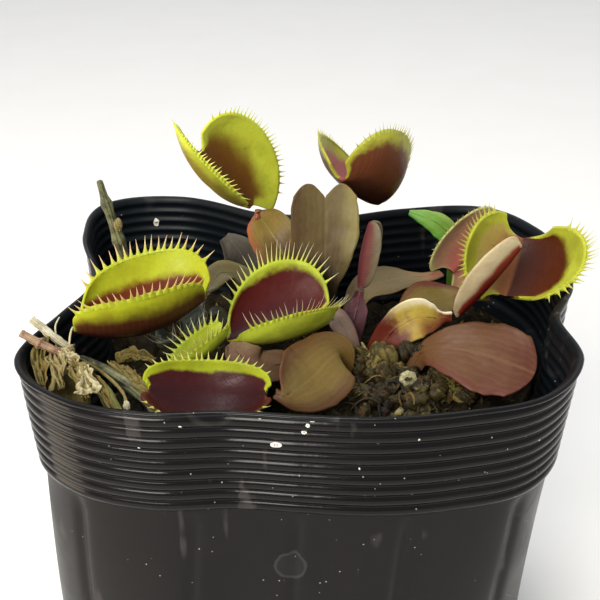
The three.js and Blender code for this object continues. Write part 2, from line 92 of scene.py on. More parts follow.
# Each trap: hinge from neck to tip, and middles a and b of its two rims. Shares of its
# length: bow (twice the hinge's bend), fan_a and fan_b (how much longer each rim is than
# the hinge), slide_a and slide_b (how far each rim is moved along). end is a lobe's
# depth at its ends, and cup its belly, as shares of its depth. teeth is the count on
# each lobe, tooth their length as a share of the lobe's depth, root their thickness as
# a share of the gap between them.
# Colours: inside is the glandular face near the hinge and further out, with inside_b for
# lobe b if it differs; outside is the back near the hinge and further out; margin has
# cloudy patches of shade, and painted_shade_margin_b, where given, is lobe b's margin painted plain
# and darker as painted shade; tips is the teeth's point. band and skin tell where the
# margin's colour starts and is full on the inside and on the outside, as shares of the
# way from hinge to rim.
TRAPS = {
    "trap_upper_left": dict(
        neck=(-9, 16, 88.5), tip=(-16.8, 8, 101.5), a=(-7.4, 17, 103.6), b=(-15, -0.5, 102.6),
        teeth=28, tooth=0.13, root=0.75, fan_a=0.45, fan_b=0.35, slide_a=-0.1, slide_b=0.16, cup=0.15,
        inside=("#70421c", "#8a6424"), outside=("#643c22", "#8c7c34"), margin="#ccd646",
        shade="#a4ac30", band=(0.4, 0.8), skin=(0.74, 1.0), tips="#d6dc78",
    ),
    "trap_upper_right": dict(
        neck=(7.5, 11.8, 95.2), tip=(14.8, 25, 85.7), a=(17.9, 13.5, 103.2), b=(5.5, 27, 97.8),
        teeth=28, tooth=0.1, root=0.7, fan_a=0.3, fan_b=0.3,
        inside=("#9a4e48", "#9c5650"), outside=("#3c1a10", "#643620"), margin="#a9ab3a",
        shade="#8a7c2c", band=(0.74, 0.92), skin=(0.8, 0.94), tips="#c4c460",
    ),
    "trap_left": dict(
        neck=(-15.9, -8.6, 82.2), tip=(-35.6, -17, 80.7), a=(-27, -3, 87.6),
        b=(-24.9, -19.5, 87.8), teeth=19, tooth=0.19, bow=0.3, fan_a=0, fan_b=0, slide_a=-0.06,
        inside=("#461408", "#66260a"), outside=("#34140e", "#4e2616"), margin="#acb422",
        shade="#94901c", band=(0.6, 0.76), skin=(0.6, 0.95), tips="#e4bc92", root=0.85,
    ),
    "trap_centre": dict(
        neck=(2.7, -3, 75.1), tip=(-12.3, -7, 73.3), a=(-4.9, 3, 83.4), b=(-0.3, -15, 82.6),
        teeth=24, tooth=0.24, fan_a=0.15, fan_b=0, slide_a=-0.08, slide_b=-0.1,
        inside=("#340810", "#4c120e"), outside=("#6a4a2a", "#8c8c2c"), margin="#aab634",
        shade="#7c7a24", band=(0.84, 0.97), skin=(0.4, 0.85), tips="#e0d6b0",
    ),
    "trap_front": dict(
        neck=(-5.2, -27, 74.9), tip=(-22.8, -28.5, 76.6), a=(-14.1, -22.5, 78.4),
        b=(-14, -34, 74), teeth=19, tooth=0.17, bow=0.35, fan_a=0.1, fan_b=0.1,
        inside=("#2c080c", "#3c0f11"), outside=("#42201a", "#7c7c20"), margin="#9aa41e",
        painted_shade_margin_b="#4e2218", shade="#6e6c18", band=(0.7, 0.82), skin=(0.3, 0.7), tips="#dccc84",
    ),
    "trap_small": dict(
        neck=(-12.6, -12.5, 76.9), tip=(-18.5, -19, 74.9), a=(-17.5, -13.5, 77.9),
        b=(-15.4, -18, 78.7), teeth=11, tooth=0.55, fan_a=0.3, fan_b=0.3, end=0.5,
        inside=("#7a6a26", "#8c9026"), outside=("#767822", "#929a28"), margin="#a2ae2e",
        shade="#7c8024", band=(0.3, 0.8), skin=(0.2, 0.8), tips="#dcdca0",
    ),
    "trap_right": dict(
        neck=(36.7, 6.5, 75), tip=(39.9, 12, 84.1), a=(29.2, 6, 85.7), b=(48.3, -0.6, 85.6),
        teeth=21, tooth=0.2, fan_a=0.45, fan_b=0.2, end=0.42, root=0.8,
        inside=("#7a4a2a", "#b09c54"), inside_b=("#3a1408", "#52220c"),
        outside=("#7a3e34", "#94703c"), margin="#b2b83a",
        shade="#827e26", band=(0.6, 0.8), skin=(0.55, 0.9), tips="#d0d06c",
    ),
    "trap_back": dict(
        neck=(29.6, 25, 71.3), tip=(37.5, 28.5, 78.5), a=(28.9, 24, 81), b=(36.8, 27, 71.2),
        teeth=14, tooth=0.14, fan_a=0.5, fan_b=0.5, end=0.5,
        inside=("#a85a50", "#b4886a"), outside=("#b05a54", "#b89270"), margin="#b4b070",
        shade="#9a8458", band=(0.8, 0.96), skin=(0.8, 0.97), tips="#c8c090",
    ),
    "young_trap_upright": dict(
        neck=(10.4, 1.5, 79.4), tip=(12.1, 3, 90.7), a=(13.5, 0, 85.9), b=(13.9, 3.5, 85.6),
        teeth=0, fan_a=0, fan_b=0,
        inside=("#7a4038", "#8a7c60"), outside=("#54222a", "#643634"), margin="#6a624c",
        shade="#5a4c3c", band=(0.5, 0.9), skin=(0.5, 0.95), tips="#c8c090",
    ),
    "young_trap_leaning": dict(
        neck=(27.2, -1, 75), tip=(37.6, 2, 86.8), a=(29.6, -3.5, 86), b=(31, -0.5, 85.3),
        teeth=0, fan_a=0, fan_b=0,
        inside=("#7a201c", "#a8906c"), outside=("#681210", "#86261c"), margin="#c0b08a",
        shade="#a08c68", band=(0.35, 0.7), skin=(0.5, 0.7), tips="#c8c090",
    ),
    "old_trap": dict(
        neck=(-17, -2.5, 75), tip=(-23.5, -6.5, 73.5), a=(-21, -1, 76.5), b=(-19.5, -8, 75),
        teeth=12, tooth=0.8, fan_a=0.25, fan_b=0.25,
        inside=("#3c4236", "#565c4c"), outside=("#4a5040", "#6a6e5c"), margin="#8a8c7c",
        shade="#5a5c4c", band=(0.7, 1.0), skin=(0.6, 1.0), tips="#b4b0a6",
    ),
}

# Each blade: line from its foot (height set by the mix, unless loose) towards the trap
# that it carries, straight to its neck if direct or else along its hinge, ending back
# from it; full widths at even stations; the way it faces. fold is how far its sides
# rise as a share of the half width, wave and waves the height and number of the
# margin's waves, heart how far the tip's two halves reach past the midrib or, below 0,
# how far its sides are drawn back, crumple the depth of withered wrinkles. Its colours
# are base, body, tip, left edge, right edge, midrib; fade tells where along the blade
# base turns to body, and edge where across it the edges' colours begin, as one share or
# one for each side.
BLADES = {
    "leaf_upper_left": dict(
        line=[(-1.5, 13, 0), (-0.7, 12, 73.7), (-4.2, 13.5, 82.4)], carries="trap_upper_left",
        back=2.1, widths=[2.6, 3.6, 7, 9, 7, 2.2, 1.8], face=(0.2, -1, 0.25), fold=0.2,
        colours=("#4a2e1a", "#78652a", "#a5604e", "#9a4c2c", "#6e5e2a", "#968638"), edge=0.5,
        fade=(0.3, 0.7),
    ),
    "leaf_upper_right": dict(
        line=[(4.5, 6, 0), (4.5, 6, 74.6), (4.4, 7.4, 83), (4.4, 10, 92.5)],
        widths=[2.2, 3, 4.2, 8.5, 12, 11], face=(0, -1, 0.3), fold=0.25, heart=2.6,
        colours=("#2e2214", "#594728", "#60512e", "#4c3820", "#877d4b", "#675731"), edge=0.35,
        fade=(0.4, 0.8),
    ),
    "leaf_left": dict(
        line=[(-5, 9.5, 0), (-6.9, 8, 73.6), (-10, 7, 77.9), (-13.6, 3, 81), (-15.2, -3, 81.2)],
        carries="trap_left", direct=True, back=2,
        widths=[2.2, 2.6, 5, 6.5, 4.5, 1.8, 1.4], face=(-0.2, -0.7, 1),
        colours=("#534a2b", "#756a44", "#958764", "#5e5637", "#83784d", "#7e7448"), edge=0.6,
    ),
    "leaf_centre": dict(
        line=[(9.3, -6, 0), (8.5, -5.5, 72)], carries="trap_centre", back=1.4,
        widths=[2.2, 3, 4, 3, 1.6], face=(0, -0.5, 1),
        colours=("#564138", "#6d594b", "#8c7a68", "#60463e", "#60463e", "#7f6d5b"), edge=0.6,
    ),
    "leaf_front": dict(
        line=[(6.5, -11, 0), (6.2, -14, 74.5), (2, -20, 73.8)], carries="trap_front",
        back=1.1, widths=[2.6, 4.5, 10, 12, 9, 2.6, 1.8], face=(0.2, -0.8, 0.8), fold=0.1,
        wave=0.5,
        colours=("#664a22", "#6c5828", "#442414", "#4a2a14", "#54301a", "#766230"), edge=0.3,
    ),
    "leaf_small": dict(
        line=[(2.4, -10, 0), (-1.7, -11.6, 70.9), (-7, -13.9, 72), (-10.4, -13.3, 74.5)],
        carries="trap_small", direct=True, back=1.1,
        widths=[2.4, 4.5, 6.5, 6.5, 4, 1.6], face=(0, -0.6, 1), wave=0.4,
        colours=("#563e2b", "#6d5340", "#755d46", "#604634", "#70583e", "#634d38"), edge=0.5,
    ),
    "leaf_right": dict(
        line=[(18.8, 4, 0), (21, 4.5, 73), (26.9, 7, 74.5)], carries="trap_right",
        direct=True, back=2.5, widths=[2.6, 4, 8, 9, 6.5, 2.4, 1.8], face=(0, -0.35, 1),
        colours=("#443016", "#66541a", "#5e201c", "#58201a", "#5c4c1c", "#70642a"), edge=0.5,
    ),
    "leaf_back": dict(
        line=[(8.6, 12.4, 0), (11, 14.5, 71.5), (16.5, 17, 73), (23, 20.5, 72)],
        carries="trap_back", direct=True, back=2.4,
        widths=[2.6, 4, 7, 8, 6, 2.6, 1.6], face=(0, -0.2, 1),
        colours=("#6b5c3d", "#887855", "#a36952", "#796947", "#796947", "#a3916c"), edge=0.6,
    ),
    "young_leaf_upright": dict(
        line=[(8.8, -0.5, 0), (9, -0.5, 72)], carries="young_trap_upright", back=0.2,
        widths=[2.4, 3.4, 4.6, 4, 2, 1.6], face=(0.3, -1, 0.2),
        colours=("#523333", "#56353c", "#6f3f42", "#3c2028", "#644249", "#7a585e"), edge=0.45,
    ),
    "young_leaf_leaning": dict(
        line=[(10.6, -3, 0), (14, -4, 71.2), (19.3, -3.7, 75.7), (23.5, -2.6, 75.4)],
        carries="young_trap_leaning", direct=True, back=0.9,
        widths=[2.2, 3, 5.5, 7, 5, 2, 1.6], face=(-0.1, -0.9, 0.45), fold=0.3,
        colours=("#5a1c10", "#bca644", "#6a1c14", "#f2ead0", "#5c1a0e", "#9a6c2e"),
        edge=(0.5, -0.9), fade=(0.32, 0.54),
    ),
    "leaf_broad_right": dict(
        line=[(18, -8, 0), (21.2, -9, 72.3), (29, -12.6, 73.9), (38, -16.5, 72.2)],
        widths=[2.6, 3.2, 7.6, 14.4, 16.6, 14], face=(0.1, -0.35, 1), fold=0.05, wave=0.5,
        heart=-3,
        colours=("#5c3f24", "#5f3e25", "#582e1e", "#5a3822", "#603428", "#6e4e31"), edge=0.6,
    ),
    "old_leaf": dict(
        line=[(-10.5, 1, 0), (-12, -0.6, 70)], carries="old_trap", back=1.5,
        widths=[2, 2.2, 2.4, 1.8, 1.4], face=(0, -0.5, 1),
        colours=("#464235", "#545144", "#635f54", "#423f34", "#423f34", "#5a5448"), edge=0.6,
    ),
    "leaf_dark_back": dict(
        line=[(-10.5, 13, 0), (-10.5, 14, 73), (-11, 15.5, 79), (-14, 17, 82)],
        widths=[2.4, 3.4, 6.5, 8, 6, 3], face=(0.3, -0.6, 1),
        colours=("#37322a", "#464139", "#524d42", "#332f28", "#565248", "#565148"), edge=0.5,
    ),
    "leaf_green_small": dict(
        line=[(30, 31, 0), (30.5, 31.5, 73), (27.2, 31.5, 78.4), (21.5, 32.2, 80.8)],
        widths=[1.8, 2, 4, 5, 3.6, 1.2], face=(0.1, -0.8, 0.8),
        colours=("#4e7925", "#6b9337", "#7ba954", "#50872d", "#85a550", "#7ea954"), edge=0.5,
    ),
    "dry_moss": dict(
        line=[(-39, -21, 72), (-37.4, -22.4, 74.6), (-35.4, -25, 73.4), (-34.8, -28, 70.5)],
        widths=[2, 5, 6, 3], face=(0.3, -0.6, 1), wave=0.8, waves=3, loose=True, crumple=0.7,
        colours=("#69653d", "#837c54", "#746e44", "#744828", "#a0936b", "#a89c76"), edge=0.4,
    ),
}

# Each stem: line, radii at even stations, dark and pale colour, where its knots are as
# shares of its length, and the bore of a hollow end as a share of its width.
STEMS = {
    "dead_flower_stalk": dict(
        line=[(-25, 12, 59), (-29, 8.5, 73.5), (-32.3, 8, 87), (-34.5, 8, 96.5)],
        radii=[0.65, 0.7, 0.85, 0.5], colours=("#34341e", "#6e7048"), knots=(0.62, 0.82),
    ),
    "mossy_stem": dict(
        line=[(-15, -29, 60), (-18.5, -28.5, 68.5), (-26.3, -24, 74.6), (-35, -18.5, 76.4)],
        radii=[0.8, 1, 1, 0.7], colours=("#3a3a28", "#7c7e5c"), knots=(0.5, 0.7),
    ),
    "green_stem": dict(
        line=[(-24.5, -31, 60), (-26.6, -30.6, 70), (-29.6, -27.4, 75), (-32.5, -23.4, 76)],
        radii=[0.9, 1.1, 1.1, 0.7], colours=("#76782a", "#a4a45a"), knots=(),
    ),
    "cut_stalk": dict(
        line=[(18, -14.6, 64), (18, -14, 68.4), (17.7, -15.2, 70.9)],
        radii=[1.1, 1.25, 1.35], colours=("#5e5a38", "#b4ac84"), knots=(), hollow=0.68,
    ),
    "pale_stem": dict(
        line=[(-42.7, -15.5, 81.9), (-39.5, -17, 79.8), (-36.2, -18.5, 77.9)],
        radii=[0.6, 0.7, 0.65], colours=("#a8a080", "#d4ceb4"), knots=(0.95,),
    ),
    "brown_stem": dict(
        line=[(-43.5, -20, 81.8), (-40.6, -20.5, 80.2), (-36.8, -21.3, 78.6)],
        radii=[0.6, 0.65, 0.6], colours=("#7e5644", "#a88a6c"), knots=(0.5,),
    ),
}

# Crumpled plant litter on the mix: centre, half sizes, tilt in radians, how deep it
# is folded, shade (0 dark peat, 0.4 olive, 0.7 straw, 1 cream), and its CAD node.
LUMPS = [
    ((9.4, -6.6, 69.6), (3.4, 2.5, 3.2), 0.2, 0.36, 0.5, "growing_mix"),
    ((14.0, -7.4, 69.9), (3.2, 2.4, 3.9), -0.2, 0.24, 0.6, "growing_mix"),
    ((9.8, -10.2, 69.7), (2.5, 2.0, 2.3), 0.5, 0.36, 0.5, "growing_mix"),
    ((18.2, -5.6, 70.9), (2.6, 2.1, 2.4), 0.9, 0.34, 0.42, "growing_mix"),
    ((21.2, -6.6, 70.7), (3.2, 2.3, 2.6), 0.1, 0.34, 0.32, "growing_mix"),
    ((24.0, -11.4, 69.7), (3.2, 2.3, 2.4), 0.2, 0.3, 0.54, "growing_mix"),
    ((14, -12.4, 70.1), (2.8, 2.1, 2.4), 0.4, 0.36, 0.44, "growing_mix"),
    ((8.2, -16.2, 68.5), (3.2, 2.1, 2.1), 0.1, 0.34, 0.48, "growing_mix"),
    ((13, -17.6, 68.9), (2.8, 2.0, 2.0), 0.7, 0.34, 0.38, "growing_mix"),
    ((19, -18.6, 68.7), (2.6, 2.0, 1.9), 0.2, 0.34, 0.46, "growing_mix"),
    ((22.4, -16.4, 68.9), (2.8, 2.0, 1.9), 0.7, 0.34, 0.5, "growing_mix"),
    ((27.4, -15.6, 67.9), (2.6, 2.0, 1.7), 0.4, 0.34, 0.44, "growing_mix"),
    ((5.6, -20.4, 67.3), (2.6, 2.0, 1.5), 0.9, 0.34, 0.42, "growing_mix"),
    ((-31.7, 7.3, 88.6), (0.9, 0.7, 1.5), 0.2, 0.3, 0.88, "dead_flower_stalk"),
    ((-36.2, -19.1, 78.2), (0.9, 0.7, 0.8), 0.3, 0.3, 0.9, "pale_stem"),
    ((-25.7, -32.4, 76.2), (0.7, 0.6, 1.0), 0, 0.35, 0.98, "mossy_stem"),
    ((-28, -14.4, 74), (2.0, 1.1, 0.9), 0.1, 0.25, 0.5, "mossy_stem"),
    ((-21.6, -27.6, 75), (1.2, 0.7, 0.8), 0.4, 0.35, 0.4, "mossy_stem"),
    ((8.6, -13.2, 69.3), (0.3, 0.3, 0.3), 0, 0.2, 1.0, "growing_mix"),
    ((11, -6.4, 70.2), (0.28, 0.28, 0.3), 0, 0.2, 1.0, "growing_mix"),
    ((26.2, -6.3, 69.4), (0.3, 0.3, 0.3), 0, 0.2, 1.0, "growing_mix"),
]

# Torn sheets of withered leaf: points, widths at even stations, depth of the wrinkles,
# shade as above, CAD node.
SCRAPS = [
    ([(-40.4, -17.6, 79.2), (-40.6, -21.4, 78.8), (-39.8, -25, 78), (-38.8, -28.6, 77)],
     [1.0, 2.2, 2.4, 1.0], 0.6, 0.55, "dry_moss"),
    ([(-38.8, -19.6, 78.6), (-37.6, -22.6, 78.4), (-37.2, -25, 77.6), (-36.2, -28, 76.4)],
     [1.4, 2.8, 1.8, 0.8], 0.7, 0.72, "dry_moss"),
    ([(-37.4, -20.8, 78.8), (-35.8, -22.6, 78.4), (-34.4, -24.4, 77.4)],
     [1.0, 2.4, 1.2], 0.6, 0.84, "dry_moss"),
    ([(-36.2, -21, 78), (-34.4, -24.2, 78.2), (-33, -27.6, 77.6), (-32.2, -30.6, 76)],
     [1.2, 2.2, 2.6, 1.0], 0.7, 0.62, "dry_moss"),
    ([(-33.6, -24.2, 78.4), (-32.4, -27, 78), (-31.4, -30.4, 76.8)],
     [0.8, 2.2, 3.6], 0.5, 0.88, "dry_moss"),
    ([(-34.8, -22.4, 77.6), (-31.6, -26, 77.4), (-29.4, -30, 76.6), (-27.6, -33.6, 75.4)],
     [0.8, 1.6, 1.8, 0.8], 0.4, 0.5, "green_stem"),
    ([(-29.8, -15.2, 74.2), (-28, -14.6, 74.8), (-25.6, -14.8, 74.6), (-23.6, -15.8, 74.4)],
     [1.4, 2.2, 1.6, 0.8], 0.5, 0.58, "mossy_stem"),
    ([(-30, -20, 76.4), (-26.6, -23, 76), (-24.6, -25.4, 75.6), (-22.2, -28, 75)],
     [0.8, 1.6, 1.8, 0.8], 0.6, 0.62, "mossy_stem"),
    ([(-25, -2, 75.4), (-23.2, -4.4, 76.2), (-21.4, -7, 76), (-19.6, -9.4, 75)],
     [1.0, 2.4, 2.6, 1.2], 0.6, 0.42, "old_trap"),
    ([(24, -9.4, 70), (25, -11.6, 69.8), (25.2, -13.8, 68.6)], [1, 2.4, 1.2], 0.5, 0.5,
     "growing_mix"),
]

# Long strands of litter: points, radius, shade as above, CAD node.
STRANDS = [
    ([(-39.8, -18.6, 78.6), (-40.3, -23.2, 78), (-39.2, -27.4, 77.2), (-38, -29.6, 76.4),
      (-37.4, -27, 77.4), (-38.6, -23, 78.4)], 0.45, 0.62, "dry_moss"),
    ([(-39, -12.4, 80.6), (-39.3, -14.6, 80), (-38.6, -17.4, 79)], 0.16, 0.95, "pale_stem"),
    ([(-42, -14.6, 80.4), (-41.6, -14.2, 79), (-41.7, -13.8, 77.6)], 0.14, 0.9, "pale_stem"),
    ([(-36.6, -18.4, 78), (-36.4, -17.4, 80), (-36, -16.8, 81.2)], 0.18, 0.96, "pale_stem"),
    ([(-35.6, -19.6, 77.6), (-31, -23.4, 77), (-27, -28, 76), (-25.6, -32.6, 75.6)],
     0.28, 0.6, "mossy_stem"),
    ([(17.6, -11.4, 70.6), (18, -14.6, 68.4), (17, -18.6, 67.6), (15.4, -21, 67.4)],
     0.75, 0.66, "growing_mix"),
    ([(24.4, -8.8, 70.4), (23, -11.6, 69), (21.6, -14.6, 67.6)], 0.32, 0.78, "growing_mix"),
    ([(22.6, -3.6, 70.6), (22.4, -6.4, 68.8), (22.6, -8.4, 67.4)], 0.3, 0.8, "growing_mix"),
    ([(20.8, -11.6, 68.6), (22.8, -14.6, 68.6), (25.4, -16.4, 67.8), (27.6, -18.6, 67)],
     0.45, 0.48, "growing_mix"),
    ([(10.6, -4, 71.4), (11.8, -6.6, 70), (12.6, -9.4, 68)], 0.34, 0.7, "growing_mix"),
    ([(7.6, -8, 69.4), (9.6, -10.4, 69), (10.6, -13.4, 68)], 0.34, 0.42, "growing_mix"),
    ([(14.6, -10.6, 69.4), (13.2, -13.2, 69), (12.8, -16.4, 68)], 0.4, 0.3, "growing_mix"),
]

# Pale specks of dried dirt on the pot's collar, and last a pale streak on its inner wall
# that is a painted highlight: angle in degrees, height, half width, half height, 1 on the
# outside or -1 on the inside.
SPECKS = [
    (265.1, 74.6, 0.85, 0.4, 1), (271.5, 78.4, 0.3, 0.3, 1), (270.8, 77, 0.4, 0.25, 1),
    (272.4, 79.2, 0.35, 0.12, 1), (262, 79, 0.22, 0.2, 1), (247.2, 77.6, 0.2, 0.2, 1),
    (292.2, 76, 0.16, 0.2, 1), (281.7, 71, 0.14, 0.14, 1), (239.8, 73.6, 0.16, 0.16, 1),
    (96, 78, 0.5, 0.2, 1), (180, 73, 0.3, 0.2, 1), (20, 75, 0.2, 0.2, 1), (315, 72, 0.14, 0.14, 1),
    # A pale streak on the inner wall: a painted highlight.
    (125.4, 74.8, 0.4, 0.95, -1),
]

# ---------------------------------------------------------------- small helpers


def linear(code):
    """sRGB hex code to a linear RGBA tuple."""
    rgb = [int(code[i:i + 2], 16) / 255 for i in (1, 3, 5)]
    return tuple(c / 12.92 if c <= 0.04045 else ((c + 0.055) / 1.055) ** 2.4 for c in rgb) + (1.0,)


def smooth(t):
    """Smooth step from 0 to 1 as t goes from 0 to 1."""
    c = np.clip(t, 0, 1)
    return c * c * (3 - 2 * c)


def arch(t):
    """Parabola that is 0 at both ends, t = 0 and 1, and 1 in the middle."""
    return 4 * t * (1 - t)


def curve(a, b, c, d, f):
    """Smooth curve (Catmull-Rom) from b to c as f goes from 0 to 1, with a before b and
    d after c, whose slope at b is half of c - a."""
    return b + 0.5 * f * (c - a + f * (2 * a - 5 * b + 4 * c - d + f * (3 * (b - c) + d - a)))


def along(values, t):
    """Values or points at even stations, read smoothly at t in 0..1."""
    v = np.asarray(values, float)
    t = np.asarray(t, float)
    s = np.clip(t, 0, 1) * (len(v) - 1)
    i = np.minimum(len(v) - 2, np.floor(s).astype(int))
    f = s - i
    if v.ndim == 2:
        f = f[..., None]
    return curve(v[np.maximum(0, i - 1)], v[i], v[i + 1], v[np.minimum(len(v) - 1, i + 2)], f)


def unit(v):
    """Vectors scaled to length 1."""
    return v / np.maximum(np.linalg.norm(v, axis=-1, keepdims=True), 1e-12)


def tangent(line, t):
    """Unit direction of a smooth line at t, from just before it to just after it."""
    return unit(along(line, np.minimum(1, t + 0.02)) - along(line, np.maximum(0, t - 0.02)))


def seed_of(name):
    """Sum of a name's letter codes, so that each piece has random values of its own."""
    return sum(map(ord, name))


def lattice(x, y, seed):
    """Smooth random values in -1..1 over the plane, one cell per unit."""
    table = np.random.default_rng(seed).uniform(-1, 1, (64, 64))
    i, j = np.floor(x).astype(int), np.floor(y).astype(int)
    u, v = smooth(x - i), smooth(y - j)
    i0, i1, j0, j1 = i % 64, (i + 1) % 64, j % 64, (j + 1) % 64
    low = table[i0, j0] * (1 - u) + table[i1, j0] * u
    high = table[i0, j1] * (1 - u) + table[i1, j1] * u
    return low * (1 - v) + high * v


def rough(x, y, seed, octaves=4):
    """Sum of lattices, each twice as fine and half as tall as the one before."""
    return sum(lattice(x * 2 ** k, y * 2 ** k, seed + k) / 2 ** k for k in range(octaves))


def mound(x, y, place):
    """Bell curve: 1 at the mound's centre, and near 0 beyond its reach."""
    cx, cy, reach_x, reach_y = place
    return np.exp(-((x - cx) ** 2 / reach_x + (y - cy) ** 2 / reach_y))


def soil_height(x, y):
    """Top of the growing mix in mm: round hills on a level, and two gentle ripples."""
    z = MIX_Z
    for cx, cy, width, height in HILLS:
        z = z + height * np.exp(-((x - cx) ** 2 + (y - cy) ** 2) / (width * width))
    return z + 0.45 * np.sin(1.15 * x + 0.6 * y) + 0.4 * np.sin(0.7 * x - 1.05 * y + 1.3)


# ------------------------------------------------------------------ mesh making


def add_mesh(name, points, quads, material, attributes=(), tris=None):
    """One object from points in mm, quads and triangles, with its point attributes."""
    mesh = bpy.data.meshes.new(name)
    quads = np.asarray(quads, np.int32).reshape(-1, 4)
    tris = np.zeros((0, 3), np.int32) if tris is None else np.asarray(tris, np.int32)
    corners = np.concatenate([quads.ravel(), tris.ravel()])
    sizes = np.concatenate([np.full(len(quads), 4), np.full(len(tris), 3)]).astype(np.int32)
    starts = np.concatenate([[0], np.cumsum(sizes)[:-1]]).astype(np.int32)
    mesh.vertices.add(len(points))
    mesh.vertices.foreach_set("co", (np.asarray(points, np.float32) * MM).ravel())
    mesh.loops.add(len(corners))
    mesh.loops.foreach_set("vertex_index", corners.astype(np.int32))
    mesh.polygons.add(len(sizes))
    mesh.polygons.foreach_set("loop_start", starts)
    mesh.polygons.foreach_set("use_smooth", np.ones(len(sizes), bool))
    for label, values in dict(attributes).items():
        layer = mesh.attributes.new(label, "FLOAT", "POINT")
        layer.data.foreach_set("value", np.asarray(values, np.float32).ravel())
    mesh.update(calc_edges=True)
    mesh.validate()
    mesh.materials.append(material)
    obj = bpy.data.objects.new(name, mesh)
    bpy.context.scene.collection.objects.link(obj)
    return obj


def attach(obj, node_name):
    """A finished piece: rides on the root body and stands for one CAD node."""
    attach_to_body(obj, "root")
    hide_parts(node_name)


def grid_quads(rows, cols, start=0, around=False):
    """Quads of a grid of points stored row by row, closed sideways if around."""
    i, j = np.meshgrid(np.arange(rows - 1), np.arange(cols if around else cols - 1), indexing="ij")
    k = (j + 1) % cols
    cells = np.stack([i * cols + j, (i + 1) * cols + j, (i + 1) * cols + k, i * cols + k], -1)
    return cells.reshape(-1, 4) + start


def repeat_quads(cell, count, points):
    """The same quads for each of many small grids, stored one after another."""
    return (cell[None] + (np.arange(count) * points)[:, None, None]).reshape(-1, 4)


def fan(centre, ring, back=False):
    """Triangles from a centre to a ring of points, turned over if back."""
    ahead = np.roll(ring, -1)
    pair = [ahead, ring] if back else [ring, ahead]
    return np.stack([np.full(len(ring), centre), *pair], -1)


def end_caps(rows, cols, back=False):
    """Fans that close the first and last ring of a round grid. Their two centres are
    stored after it."""
    n = rows * cols
    first, last = np.arange(cols), np.arange(n - cols, n)
    return np.concatenate([fan(n, first, back), fan(n + 1, last, not back)])


def sheet(line, t, side, up, across, rise):
    """Grid of points at shares t of a smooth line, each moved sideways and up."""
    return along(line, t)[:, None] + side[:, None] * across[..., None] + up[:, None] * rise[..., None]


def rings(line, t, radius, cols):
    """Grid of rings square to a smooth line, and the line's direction at each."""
    a = np.linspace(0, 2 * PI, cols, endpoint=False)
    axis = tangent(line, t)
    side = unit(np.cross(axis, ASKEW))
    up = np.cross(axis, side)
    return sheet(line, t, side, up, radius * np.cos(a), radius * np.sin(a)), axis


def shell(grid, half):
    """Closed thin plate either side of a grid of points: top, bottom and a rim.

    Each point moves half its thickness both ways along the surface's normal, the
    cross product of the differences along the two directions of the grid.
    """
    rows, cols = grid.shape[:2]
    du = np.gradient(grid, axis=0)
    dv = np.gradient(grid, axis=1)
    normal = unit(np.cross(du, dv)) * half[..., None]
    top, low = (grid + normal).reshape(-1, 3), (grid - normal).reshape(-1, 3)
    ids = np.arange(rows * cols).reshape(rows, cols)
    edge = np.concatenate([ids[:, 0], ids[-1, 1:], ids[-2::-1, -1], ids[0, -2:0:-1]])
    ahead = np.roll(edge, -1)
    n = rows * cols
    rim = np.stack([edge, edge + n, ahead + n, ahead], -1)
    quads = np.concatenate([grid_quads(rows, cols), grid_quads(rows, cols, n)[:, ::-1], rim])
    return np.concatenate([top, low]), quads, unit(normal)


# -------------------------------------------------------------------- materials
# Patterns read the position on the object in metres, so a scale of 1000 is one grain
# per millimetre. The finest ones are drawn a little coarser than life, to show.


def fill(tree, made, inputs):
    """Links sockets to a node's inputs or sets their values; a hex code is a colour."""
    for key, value in inputs.items():
        if isinstance(value, bpy.types.NodeSocket):
            tree.links.new(value, made.inputs[key])
        else:
            made.inputs[key].default_value = linear(value) if isinstance(value, str) else value


def node(tree, kind, inputs=(), output=0, **settings):
    """Adds a shader node with its settings and inputs, and gives one of its outputs.
    Inputs are a tuple from the first one on, or a dict by number or name."""
    made = tree.nodes.new("ShaderNode" + kind)
    for key, value in settings.items():
        setattr(made, key, value)
    fill(tree, made, inputs if isinstance(inputs, dict) else dict(enumerate(inputs)))
    return made.outputs[output]


def start_material(name):
    """A new material, the call that adds a node to it, and the place on the object."""
    material = bpy.data.materials.new(name)
    material.use_nodes = True
    add = functools.partial(node, material.node_tree)
    return material, add, add("TexCoord", (), "Object")


def steps_product(add, most, *steps):
    """Product of most and of smooth steps (driver, low, high), each of which goes from
    0 to 1 as its driver goes from low to high."""
    share = most
    for driver, low, high in steps:
        step = add("MapRange", (driver, low, high, 0, 1), interpolation_type="SMOOTHSTEP")
        share = add("Math", (step, share), operation="MULTIPLY")
    return share


def layers(add, colour, *rows):
    """Tints laid over a colour: each row is a tint, its greatest share, and the smooth
    steps that lower that share."""
    for tint, most, *steps in rows:
        share = steps_product(add, most, *steps)
        colour = add("Mix", {0: share, 6: colour, 7: tint}, 2, data_type="RGBA")
    return colour


def finish_material(material, add, colour, roughness, relief=(), shader_inputs=None):
    """Sets the shader. Roughness is a number, a socket, or a driver with the two ends of
    its range and the roughness at each. Relief lists heights, their depth in metres
    and their strength, each laid over the one before."""
    if isinstance(roughness, tuple):
        roughness = add("MapRange", roughness, interpolation_type="SMOOTHSTEP")
    inputs = {"Base Color": colour, "Roughness": roughness, **(shader_inputs or {})}
    below = {}
    for height, depth, strength in relief:
        bump = add("Bump", {"Height": height, "Distance": depth, "Strength": strength, **below})
        below = {"Normal": bump}
    tree = material.node_tree
    fill(tree, tree.nodes["Principled BSDF"], {**inputs, **below})
    return material


